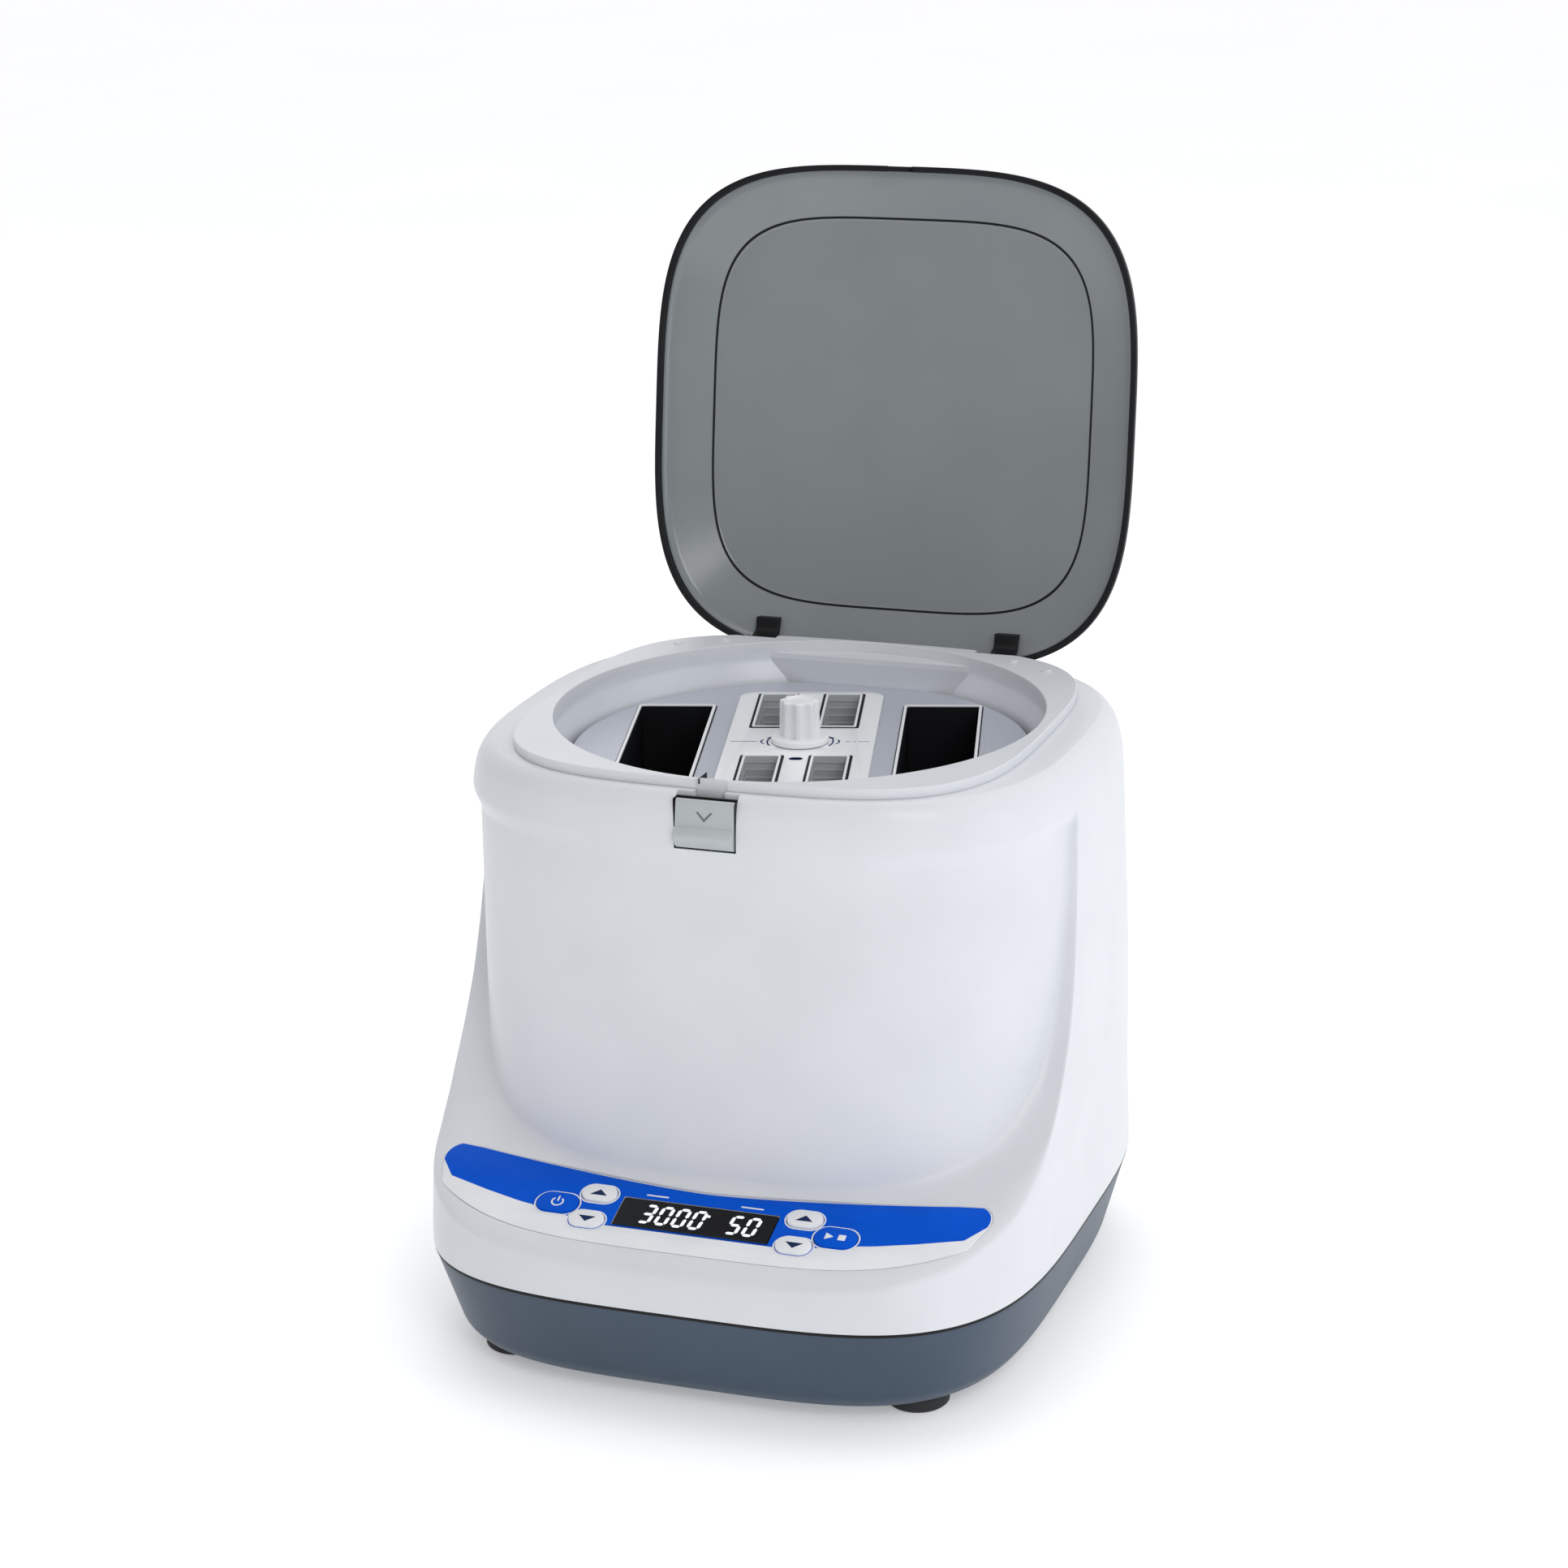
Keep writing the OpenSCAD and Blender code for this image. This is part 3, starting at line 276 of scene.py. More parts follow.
def solder_mask():
    # Fibreglass board under green solder mask: the cloth's 0.8 mm weave just shows
    def make(tree):
        at = add(tree, "TexCoord").outputs["Object"]
        weave = add(tree, "TexChecker", {"Vector": at, "Scale": 1000 / 0.8,
                                         "Color1": colour("1c5f3c"), "Color2": colour("17543a")})
        bump = add(tree, "Bump", {"Height": weave.outputs["Fac"], "Strength": 0.1,
                                  "Distance": 0.0001})
        return {"Base Color": weave.outputs["Color"], "Normal": bump.outputs["Normal"]}
    return new_finish("solder_mask", {"Roughness": 0.35}, make)


FINISH = {
    "white_abs": satin_white_abs(),
    "grey_abs": textured_slate_abs(),
    "bowl_grey": bowl_polypropylene(),
    "black_rubber": foot_rubber(),
    "zinc_steel": plated_steel(),
    "motor_black": black_moulded("black_enamel", "2c2c30", "222226", 0.38),
    "membrane": printed_film("blue_print", "0058d6", "0053ce"),
    "key_white": printed_film("white_print", "eef0f2", "e8eaed"),
    "display_black": display_acrylic(),
    "board_green": solder_mask(),
    "black_nylon": black_moulded("black_nylon", "1b1c1e", "101113", 0.45),
    "rotor_grey": rotor_anodised(),
    "hub_alloy": plated_steel("turned_alloy", "c2c5ca", "b2b5bb"),
    "lid_smoke": smoked_polycarbonate(),
    "latch_grey": new_finish("latch_abs", {"IOR": 1.53},
                             moulded(colour("b9bfbf"), colour("b2b8b8"), 0.8, 0.12, 0.36)),
    "dark_print": printed_film("dark_print", "23345c", "1c2b50"),
    "digit": lit_digit(),
    "well_black": black_moulded("well_black", "111216", "0b0c0f", 0.55),
    "knob_white": new_finish("knob_abs", {"IOR": 1.53},
                             moulded(colour("f0f1f3"), colour("e9ebee"), 0.6, 0.08, 0.3)),
    "tray_grey": new_finish("tray_abs", {"IOR": 1.53},
                            moulded(colour("b9bcbe"), colour("aeb1b3"), 0.6, 0.1, 0.42)),
    "line_grey": new_finish("engraved_grey", {"IOR": 1.53},
                            moulded(colour("6f7679"), colour("666d70"), 0.6, 0.1, 0.5)),
}

# ---------- mesh tools ----------


def eased(points, cut, steps=4, closed=False):
    """The same line with its corners swept round, from cut before each to cut after it."""
    points = [np.array(p, float) for p in points]
    count = len(points)
    cuts = cut if hasattr(cut, "__len__") else [cut] * count
    out = []
    for i, p in enumerate(points):
        if not closed and i in (0, count - 1):
            out.append(p)
            continue
        before, after = points[i - 1] - p, points[(i + 1) % count] - p
        near = min(cuts[i], 0.49 * np.linalg.norm(before[:2]), 0.49 * np.linalg.norm(after[:2]))
        if near <= 0:
            out.append(p)
            continue
        a = p + before * near / np.linalg.norm(before[:2])
        b = p + after * near / np.linalg.norm(after[:2])
        for k in range(steps + 1):
            t = k / steps
            out.append(a * (1 - t) ** 2 + p * 2 * t * (1 - t) + b * t * t)
    return out


def reach(angle, half_width, front, back, power, axis_y):
    """Distance from an upright axis to a soft-cornered rectangle, in each direction."""
    cos, sin = np.cos(np.radians(angle)), np.sin(np.radians(angle))
    middle, half = (front + back) / 2, (back - front) / 2
    near = np.zeros(np.broadcast(angle, half_width).shape)
    far = near + 300.0
    for _ in range(34):
        mid = (near + far) / 2
        outside = (np.abs(mid * cos / half_width) ** power
                   + np.abs((axis_y + mid * sin - middle) / half) ** power) > 1
        near, far = np.where(outside, near, mid), np.where(outside, mid, far)
    return (near + far) / 2


def soft_loop(half_width, front, back, power, z, count=200):
    """One closed loop round a soft-cornered rectangle."""
    angle = np.arange(count) * 360 / count
    middle = (front + back) / 2
    r = reach(angle, half_width, front, back, power, middle)
    return np.stack([r * np.cos(np.radians(angle)), middle + r * np.sin(np.radians(angle)),
                     np.full(count, z)], 1)


def box_loop(width, length, radius, z, corner=6):
    """One closed loop round a rectangle with rounded corners, about the origin."""
    loop = []
    for k, (sx, sy) in enumerate(((1, 1), (-1, 1), (-1, -1), (1, -1))):
        for i in range(corner + 1):
            a = math.radians(90 * k + 90 * i / corner)
            loop.append((sx * (width / 2 - radius) + radius * math.cos(a),
                         sy * (length / 2 - radius) + radius * math.sin(a), z))
    return np.array(loop)


def circle_loop(radius, z, count=96, at=(0, 0)):
    a = np.arange(count) * 2 * math.pi / count
    return np.stack([at[0] + radius * np.cos(a), at[1] + radius * np.sin(a), np.full(count, z)], 1)


def piece(name, verts, faces, place, finish, sharp=38):
    """A mesh object in metres, from points in one of the working frames."""
    mesh = bpy.data.meshes.new(name)
    mesh.from_pydata([place @ Vector(v) for v in verts], [], faces)
    return dress(bpy.data.objects.new(name, mesh), finish, sharp)


def dress(obj, finish, sharp=38):
    if obj.name not in bpy.context.scene.collection.objects:
        bpy.context.scene.collection.objects.link(obj)
    mesh = obj.data
    work = bmesh.new()
    work.from_mesh(mesh)
    bmesh.ops.remove_doubles(work, verts=work.verts, dist=2e-6)
    bmesh.ops.dissolve_degenerate(work, edges=work.edges, dist=1e-6)
    bmesh.ops.recalc_face_normals(work, faces=work.faces)
    work.to_mesh(mesh)
    work.free()
    mesh.materials.clear()
    mesh.materials.append(FINISH[finish])
    for polygon in mesh.polygons:
        polygon.material_index = 0
    mesh.shade_smooth()
    mesh.set_sharp_from_angle(angle=math.radians(sharp))
    return obj


def lofted(name, loops, place, finish, wrap=False, sharp=38):
    """Skin through closed loops. wrap joins the last loop to the first, else the ends are capped."""
    loops = [np.asarray(loop, float) for loop in loops]
    n, m = len(loops[0]), len(loops)
    verts = np.concatenate(loops)
    faces = []
    for k in range(m if wrap else m - 1):
        a, b = k * n, ((k + 1) % m) * n
        faces += [(a + i, a + (i + 1) % n, b + (i + 1) % n, b + i) for i in range(n)]
    if not wrap:
        faces.append(tuple(range(n - 1, -1, -1)))
        faces.append(tuple(range((m - 1) * n, m * n)))
    return piece(name, verts.tolist(), faces, place, finish, sharp)


def revolved(name, profile, place, finish, count=96, wrap=True, at=(0, 0), sharp=38):
    """Turned round an upright axis: profile holds (radius, height)."""
    return lofted(name, [circle_loop(r, z, count, at) for r, z in profile], place, finish,
                  wrap, sharp)


def cut_sheet(name, loops, low, high, edge, place, finish, sharp=38):
    """A flat sheet cut to outlines, holes included, with its edges broken by edge."""
    curve = bpy.data.curves.new(name + "_outline", "CURVE")
    curve.dimensions = "2D"
    curve.fill_mode = "BOTH"
    for loop in loops:
        spline = curve.splines.new("POLY")
        spline.points.add(len(loop) - 1)
        spline.use_cyclic_u = True
        for point, where in zip(spline.points, loop):
            point.co = (where[0], where[1], 0, 1)
    curve.extrude = (high - low) / 2 - edge
    curve.bevel_depth = edge
    curve.offset = -edge
    curve.bevel_resolution = 1
    draft = bpy.data.objects.new(name + "_outline", curve)
    bpy.context.scene.collection.objects.link(draft)
    bpy.context.view_layer.update()
    mesh = bpy.data.meshes.new_from_object(draft.evaluated_get(
        bpy.context.evaluated_depsgraph_get()))
    bpy.data.objects.remove(draft)
    bpy.data.curves.remove(curve)
    mesh.name = name
    mesh.transform(place @ moved(z=(low + high) / 2))
    return dress(bpy.data.objects.new(name, mesh), finish, sharp)


def block(name, low, high, place, finish, edge=0.0):
    """A block between two corners, with broken edges if it shows."""
    corners = [(x, y, z) for x in (low[0], high[0]) for y in (low[1], high[1])
               for z in (low[2], high[2])]
    faces = [(0, 1, 3, 2), (4, 6, 7, 5), (0, 4, 5, 1), (2, 3, 7, 6), (0, 2, 6, 4), (1, 5, 7, 3)]
    obj = piece(name, corners, faces, place, finish)
    return broken(obj, edge) if edge else obj


def broken(obj, width, angle=30, segments=3):
    """Rounds the sharp edges by width, in millimetres."""
    bevel = obj.modifiers.new("edges", "BEVEL")
    bevel.width = width * MM
    bevel.segments = segments
    bevel.limit_method = "ANGLE"
    bevel.angle_limit = math.radians(angle)
    bevel.harden_normals = False
    return settled(obj)


def settled(obj, sharp=38):
    """Applies the modifiers."""
    bpy.context.view_layer.update()
    mesh = bpy.data.meshes.new_from_object(obj.evaluated_get(
        bpy.context.evaluated_depsgraph_get()))
    old = obj.data
    obj.modifiers.clear()
    obj.data = mesh
    mesh.name = old.name
    bpy.data.meshes.remove(old)
    mesh.shade_smooth()
    mesh.set_sharp_from_angle(angle=math.radians(sharp))
    return obj


def joined(obj, *others):
    """Gathers other meshes into obj."""
    work = bmesh.new()
    work.from_mesh(obj.data)
    for other in others:
        work.from_mesh(other.data)
        bpy.data.objects.remove(other)
    work.to_mesh(obj.data)
    work.free()
    return obj


def worked(obj, tool, how):
    """Cuts, joins or trims obj with a tool, which is used up."""
    change = obj.modifiers.new("cut", "BOOLEAN")
    change.operation = how
    change.solver = "EXACT"
    change.object = tool
    obj = settled(obj)
    bpy.data.objects.remove(tool)
    return obj


def fit(obj, body, slot, *nodes):
    """Puts a finished piece on its body, in place of the plain solids it stands for."""
    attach(obj, body)
    if nodes:
        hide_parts(*nodes)
    return obj


# ---------- housing ----------

# Height, half width, front, back and corner power of the outer shell
SHELL_LEVELS = [
    (52.5, 153.0, -164.0, 164.0, 3.8), (61.5, 152.9, -163.8, 163.9, 3.8),
    (71.5, 152.7, -162.8, 163.7, 3.8), (95.0, 152.4, -161.5, 163.4, 3.7),
    (125.0, 152.8, -154.0, 162.9, 3.6), (160.0, 152.6, -138.0, 162.3, 3.45),
    (200.0, 151.8, -118.0, 161.6, 3.2), (245.0, 150.8, -105.6, 160.6, 3.0),
    (263.0, 149.8, -104.6, 159.4, 3.0), (274.0, 147.4, -103.5, 157.6, 3.0),
    (279.0, 144.6, -102.1, 155.6, 3.0), (281.6, 142.2, -100.6, 153.7, 3.0),
    (283.0, 139.6, -98.8, 151.8, 3.0)]
# The drum stands inside the shell's two arms
DRUM_LEVELS = [
    (52.5, 147.6, -108.6, 162.0, 2.9), (94.5, 147.6, -108.0, 161.5, 2.9),
    (152.5, 147.6, -106.4, 160.5, 2.9), (245.0, 147.0, -105.0, 159.0, 2.9),
    (283.0, 146.6, -104.4, 158.0, 2.9)]
DRUM_TOP = (251.0, 262.0)                      # the arms close over the drum between these
# The arms' front edge and the ledge are one surface: its height and its y
ARM_EDGE = [(60.0, -207.98), (70.0, -177.74), (80.0, -147.5), (90.0, -117.26), (96.0, -99.12),
            (103.0, -84.5), (111.0, -71.0), (122.0, -58.5), (137.0, -46.0), (163.0, -30.5),
            (201.0, -18.5), (232.0, -13.0), (262.0, -10.0), (290.0, -9.0)]


def through(table, z):
    """Smooth curve through a table whose first column is the height."""
    table = np.array(table, float)
    x, y = table[:, 0], table[:, 1:]
    step = np.diff(x)[:, None]
    slope = np.diff(y, axis=0) / step
    tangent = np.zeros_like(y)
    inner = slope[:-1] * slope[1:] > 0
    weight = 2 * slope[:-1] * slope[1:] / np.where(inner, slope[:-1] + slope[1:], 1)
    tangent[1:-1] = np.where(inner, weight, 0)
    tangent[0], tangent[-1] = slope[0], slope[-1]
    z = np.clip(z, x[0], x[-1])
    i = np.clip(np.searchsorted(x, z) - 1, 0, len(x) - 2)
    h = step[i]
    t = ((z - x[i]) / h[:, 0])[:, None]
    return (y[i] * (1 + 2 * t) * (1 - t) ** 2 + y[i + 1] * t * t * (3 - 2 * t)
            + h * (tangent[i] * t * (1 - t) ** 2 - tangent[i + 1] * t * t * (1 - t)))


def ramp(z, low, high):
    t = np.clip((z - low) / (high - low), 0, 1)
    return t * t * (3 - 2 * t)


def soft_max(a, b, blend):
    h = np.maximum(blend - np.abs(a - b), 0) / blend
    return np.maximum(a, b) + h * h * blend / 4


def compass(z):
    """Directions round the spindle at each height, crowded along the arms' front edge."""
    edge_y = np.maximum(through(ARM_EDGE, z)[:, 0], -102.0)
    edge = np.degrees(np.arctan2(edge_y - AXIS_Y, 150.6))[:, None]
    front, band, rear = (np.linspace(0, 1, n, endpoint=False)[None, :] for n in (66, 18, 56))
    right = np.concatenate([-90 + (edge - 1.3 + 90) * front, edge - 1.3 + 2.2 * band,
                            edge + 0.9 + (90 - edge - 0.9) * rear, edge * 0 + 90], 1)
    return np.concatenate([right, 180 - right[:, -2:0:-1]], 1)


def housing_skin(z, inset=0.0):
    """Loops of the housing's outside at each height, or of a surface inset into it."""
    angle = compass(z)
    z_row = z[:, None]
    half, front, back, power = (c[:, None] for c in through(SHELL_LEVELS, z).T)
    shell = reach(angle, half - inset, front + inset, back - inset, power, AXIS_Y)
    half, front, back, power = (c[:, None] for c in through(DRUM_LEVELS, z).T)
    drum = reach(angle, half - inset, front + inset, back - inset, power, AXIS_Y)
    closing = ramp(z_row, *DRUM_TOP)
    drum = drum + (shell - drum) * closing
    edge_y = through(ARM_EDGE, z + inset * 1.05)[:, 0][:, None] + inset
    sine = np.sin(np.radians(angle))
    to_edge = np.where(sine < -0.02, (edge_y - AXIS_Y) / np.minimum(sine, -0.02), 900.0)
    crisp = 15.0 - 13.6 * ramp(z_row, 92, 122)
    arms = -soft_max(-shell, -to_edge, crisp)
    foot = 14.0 - 11.0 * ramp(z_row, 100, 190)
    r = np.minimum(soft_max(drum, arms, foot), np.maximum(shell, drum))
    return [np.stack([r[k] * np.cos(np.radians(angle[k])),
                      AXIS_Y + r[k] * np.sin(np.radians(angle[k])),
                      np.full(angle.shape[1], z[k])], 1) for k in range(len(z))]


def mouth_loops(z, radius):
    angle = np.radians(compass(z))
    return [np.stack([radius * np.cos(a), AXIS_Y + radius * np.sin(a), np.full(len(a), h)], 1)
            for a, h in zip(angle, z)]


MEMBRANE_HALF = 130.0


def membrane_loop(inset):
    """The control overlay's lens-shaped outline on the slope."""
    half = MEMBRANE_HALF - inset
    low = [(half * i / 24, -32.3 + inset + 27.5 * abs(i / 24) ** 4) for i in range(-24, 25)]
    top = [(half * i / 24, 9.3 - inset + 14.5 * abs(i / 24) ** 1.5) for i in range(22, -23, -1)]
    tip = [(half + 8 * math.cos(math.radians(t)) - 2,
            14 + 9.5 * math.sin(math.radians(t)) - inset / 2)
           for t in range(-20, 80, 15)]
    return low + tip + top + [(-x, v) for x, v in reversed(tip)]


# Keys: name, place across and up the slope, width and height
KEYS = [("power", -68.7, -9.4, 20.5, 13), ("up_left", -50.9, 0, 17.3, 11),
        ("down_left", -51, -18, 17.3, 11), ("up_right", 50.9, 0, 17.3, 11),
        ("down_right", 51, -18, 17.3, 11), ("start", 68.7, -9.4, 20.5, 13)]
DISPLAY = (76.5, 19.0, -9.2)                   # width, height, place up the slope


def oval_loop(width, height, at=(0, 0), count=28):
    radius, run = height / 2, (width - height) / 2
    loop = []
    for k in range(count):
        a = 2 * math.pi * (k + 0.5) / count
        loop.append((at[0] + math.copysign(run, math.cos(a)) + radius * math.cos(a),
                     at[1] + radius * math.sin(a)))
    return loop


def flat_box(width, height, at=(0, 0), radius=0.8, corner=4):
    return [(x + at[0], y + at[1]) for x, y, _ in box_loop(width, height, radius, 0, corner)]


def sheet_tool(name, loop, low, high, place):
    """A cutter with the given outline."""
    return lofted(name, [[(x, y, low) for x, y in loop], [(x, y, high) for x, y in loop]],
                  place, "white_abs")


def tool_box(low, high, place=MACHINE):
    return block("tool", low, high, place, "white_abs")


def housing_body():
    low = np.concatenate([np.arange(SPLIT_Z + 0.4, 72, 1.6), np.arange(72, 113, 0.5)])
    high = np.concatenate([np.arange(113, 250, 3.2), np.arange(250, 263, 0.9),
                           np.arange(263, SEAT_Z, 1.1), [SEAT_Z]])
    outer = np.concatenate([low, high])
    inner = np.concatenate([[SEAT_Z - WALL], np.arange(270, 112, -7.5), np.arange(110, 70, -1.2),
                            np.arange(69, SPLIT_Z + 1, -4), [SPLIT_Z + 0.4]])
    loops = (housing_skin(outer) + mouth_loops(np.array([SEAT_Z, SEAT_Z - WALL]), 120.9)
             + housing_skin(inner, WALL))
    body = lofted("housing_shell", loops, MACHINE, "white_abs", wrap=True)
    # Shelf under the hinge, and the pad that holds the rear sockets
    levels = np.array([262.0, 266, 270, 274, 278, SEAT_Z - 0.4])
    shelf = lofted("shelf", housing_skin(levels, 1.2), MACHINE, "white_abs")
    shelf = worked(shelf, tool_box((-103.5, HINGE_Y - 17, 264.8), (103.5, HINGE_Y + 43, 290)),
                   "INTERSECT")
    shelf = joined(shelf, tool_box((-112, 154, 69.5), (-12, 161, 119.5)))
    body = worked(body, shelf, "UNION")
    for tool in (tool_box((-15.1, -115, 257.3), (15.1, -97, 300)),                      # latch
                 tool_box((-7.5, -98, 268), (7.5, -93.5, 300)),                         # hook
                 tool_box((-100.5, HINGE_Y - 4.5, 270.2), (100.5, HINGE_Y + 55, 310)),  # hinge
                 joined(*[tool_box((s * 64.5 - 10.4, 137.2, 267.8), (s * 64.5 + 10.4, 163.2, 310))
                          for s in (-1, 1)])):
        body = worked(body, tool, "DIFFERENCE")
    flat = sheet_tool("recess", flat_box(92, 42, (-62, 94.5), 4, 6), 0, 20,
                      MACHINE @ moved(0, 180, 0) @ turned(90, "X"))
    body = worked(body, flat, "DIFFERENCE")
    rear = [tool_box((-95, 145, 84), (-67, 175, 105)), tool_box((-41.7, 145, 84.8),
            (-28.3, 175, 104.2))]
    rear += [sheet_tool("slot", flat_box(4, 34, (22 + 9 * i, 94.5), 1.9, 6), 0, 30,
                        MACHINE @ moved(0, 176, 0) @ turned(90, "X")) for i in range(9)]
    body = worked(body, joined(*rear), "DIFFERENCE")
    panel = sheet_tool("seat", membrane_loop(-0.4), -1.0, 20, PANEL)
    body = worked(body, panel, "DIFFERENCE")
    holes = [sheet_tool("window", flat_box(77.3, 19.8, (0, DISPLAY[2]), 1), -10, 20, PANEL)]
    holes += [sheet_tool("hole", oval_loop(w + 1.6, h + 1.6, (x, v)), -10, 20, PANEL)
              for _, x, v, w, h in KEYS]
    body = worked(body, joined(*holes), "DIFFERENCE")
    return fit(dress(body, "white_abs", 42), "housing", "white_abs", "upper_housing")


# ---------- base ----------


def base_pan():
    def ring(inset, z, extra=0.0):
        return soft_loop(153 - inset, -164 + inset + extra, 164 - inset, 3.8, z, 260)
    outside = eased([(15.5, 9.0), (14.6, 9.4), (11, 14), (0.9, 49.6), (0.6, 51.6), (1.6, 51.9)],
                    [0, 0.6, 2.5, 1.2, 0.3, 0.2])
    inside = [(3.6, 51.9), (4, 50), (14.2, 15.5), (17, 12)]
    loops = [ring(i, z) for i, z in outside] + [ring(i, z) for i, z in inside]
    pan = lofted("base_pan_shell", loops, MACHINE, "grey_abs")
    vents = [sheet_tool("vent", flat_box(6, 60, (16 * i, -62), 2.9, 6), 4, 20, MACHINE)
             for i in range(-4, 5)]
    pan = worked(pan, joined(*vents), "DIFFERENCE")
    posts = [revolved("post", [(1.9, 10), (5, 10), (5, 52), (1.9, 52)], MACHINE, "grey_abs", 32,
                      at=(x, y)) for x, y in BOSSES]
    joined(pan, *posts)
    return fit(dress(pan, "grey_abs", 40), "housing", "grey_abs", "base_pan")


BOSSES = [(s * x, y) for s in (-1, 1) for x, y in ((80, -132), (127, 30), (80, 132))]
FEET = [(s * x, y) for s in (-1, 1) for x, y in ((101, -112), (111, 117))]


def parting_seam():
    """A soft dark gasket closes the line between housing and pan."""
    rows = eased([(2.2, 51.2), (0.25, 51.2), (0.25, 53.0), (2.2, 53.0)], 0.15, 2)
    loops = [soft_loop(153 - i, -164 + i, 164 - i, 3.8, z, 260) for i, z in rows]
    return fit(lofted("parting_seam", loops, MACHINE, "black_nylon", wrap=True), "housing",
               "black_nylon")


def feet():
    profile = eased([(1.6, 4), (4, 4), (4, 0.0), (13.2, 0.0), (15, 1.6), (15, 6.6), (13.2, 9),
                     (1.6, 9)],
                    [0, 0.2, 0.4, 0.7, 0.7, 0.8, 0.4, 0], 4, closed=True)
    grip = [revolved("foot", profile, MACHINE, "black_rubber", 48, at=p) for p in FEET]
    first = joined(*grip)
    first.name = "foot_pads"
    return fit(dress(first, "black_rubber"), "housing", "black_rubber", "rubber_feet")


# ---------- chamber ----------


def chamber_ring():
    front, back = -94.0, 148.0
    profile = eased([(0.3, SEAT_Z + 0.02), (0, SEAT_Z + 0.5), (0, RING_Z), (0.95, RING_Z)],
                    [0, 0.2, 0.9, 0], 6)
    loops = [soft_loop(124.5 - i, front + i, back - i, 3.55, z, 240) for i, z in profile]
    middle = (front + back) / 2

    def mouth(radius, z):
        # Same directions as the outer loops, so that the skin runs straight across
        angle = np.radians(np.arange(240) * 360 / 240)
        off = AXIS_Y - middle
        r = off * np.sin(angle) + np.sqrt(radius ** 2 - (off * np.cos(angle)) ** 2)
        return np.stack([r * np.cos(angle), middle + r * np.sin(angle), np.full(240, z)], 1)
    lip = eased([(119.95, RING_Z), (119, RING_Z), (119, SEAT_Z + 0.02)], [0, 0.9, 0], 6)
    loops += [mouth(r, z) for r, z in lip]
    ring = lofted("chamber_ring_lip", loops, MACHINE, "white_abs", wrap=True)
    notch = [tool_box((s * 64.5 - 11.1, 141.6, 278), (s * 64.5 + 11.1, 166.5, 300)) for s in (-1,
            1)]
    notch.append(tool_box((-7.5, -98, 268), (7.5, -93.4, 300)))
    ring = worked(ring, joined(*notch), "DIFFERENCE")
    return fit(dress(ring, "white_abs", 40), "housing", "white_abs", "chamber_ring")


def ring_marks():
    """Dark pips at the ring's front corners, painted shade standing in for the small notches there, and the seam
    over the latch.
    """
    # Painted shade: small black blocks stand in for the shadowed notches at the ring's front corners
    notch_shade_pips = [block("pip", (s * 112.0 - 1.5, -57.6, 283.2), (s * 112.0 + 1.5, -55.4, 285.4),
                  MACHINE, "black_nylon", 0.3) for s in (-1, 1)]
    seam = block("seam", (-6.3, -94.3, RING_Z - 2.5), (-5.9, -84, RING_Z + 0.03), MACHINE,
                 "line_grey")
    return fit(dress_as("ring_marks", joined(*notch_shade_pips, seam), "black_nylon"), "housing",
               "black_nylon")


def dress_as(name, obj, finish, sharp=38):
    obj.name = name
    obj.data.name = name
    return dress(obj, finish, sharp)


def lid_bumpers():
    profile = eased([(0.4, RING_Z - 0.5), (2.4, RING_Z - 0.5), (2.4, RING_Z + 0.9),
                     (0.4, RING_Z + 1.0)],
                    [0, 0, 0.8, 0], 5)
    dots = [revolved("dot", profile, MACHINE, "white_abs", 32, wrap=False, at=p)
            for p in ((-98, 118), (98, 118), (77, 131), (-77, 131))]
    return fit(dress_as("ring_buffers", joined(*dots), "white_abs"), "housing", "white_abs",
               "lid_bumpers")


def chamber_bowl():
    outer = [(12, 168), (103, 168), (114.5, 180), (116, 256), (116, 266), (120.5, 279),
             (120.5, SEAT_Z)]
    inner = [(119, SEAT_Z), (119, 279), (114.5, 266.8), (114.5, 256), (113, 180), (102.5, 169.5),
             (12, 169.5)]
    profile = eased(outer + inner, [0, 4, 8, 6, 3, 3, 0, 0, 3, 5, 8, 10, 6, 0], 5)
    bowl = revolved("chamber_bowl_liner", profile, MACHINE, "bowl_grey", 144, at=(0, AXIS_Y))
    return fit(bowl, "housing", "bowl_grey", "chamber_bowl")


# ---------- control panel ----------


def band_edge(x):
    """Where the blue print ends and the white begins, up the slope at each x."""
    table = [(0, -18.9), (38.6, -18.9), (39.2, -20), (56, -18.2), (78, -12.7), (87, -11.2),
             (106, -6.3), (128.6, 0.6), (150, 5)]
    return np.interp(abs(x), *zip(*table))


def holes_for_panel(clear):
    return ([flat_box(DISPLAY[0] + 2 * clear, DISPLAY[1] + 2 * clear, (0, DISPLAY[2]), 0.8)]
            + [oval_loop(w + 2 * clear, h + 2 * clear, (x, v)) for _, x, v, w, h in KEYS])


def control_overlay():
    """The printed overlay: a white film, and the blue field that runs along its upper part."""
    film = cut_sheet("control_film", [membrane_loop(0)] + holes_for_panel(0.4), -1.0, 0.0, 0.06,
                     PANEL, "key_white")
    fit(film, "housing", "key_white", "control_membrane")
    loop = membrane_loop(0.5)
    upper = [(x, v) for x, v in loop if v > band_edge(x)]
    # Order the outline from its right tip over the top to its left tip, then back along the band
    upper.sort(key=lambda p: -p[0])
    tops = [p for p in upper if abs(p[0]) < 125]
    right = sorted([p for p in upper if p[0] >= 125], key=lambda p: p[1])
    left = sorted([p for p in upper if p[0] <= -125], key=lambda p: -p[1])
    edge = [(x, float(band_edge(x))) for x in np.linspace(-127, 127, 100)]
    field = right + tops + left + edge
    blue = cut_sheet("blue_field", [field] + holes_for_panel(0.4), -0.04, 0.12, 0.02, PANEL,
                     "membrane")
    fit(blue, "housing", "membrane")
    return blue


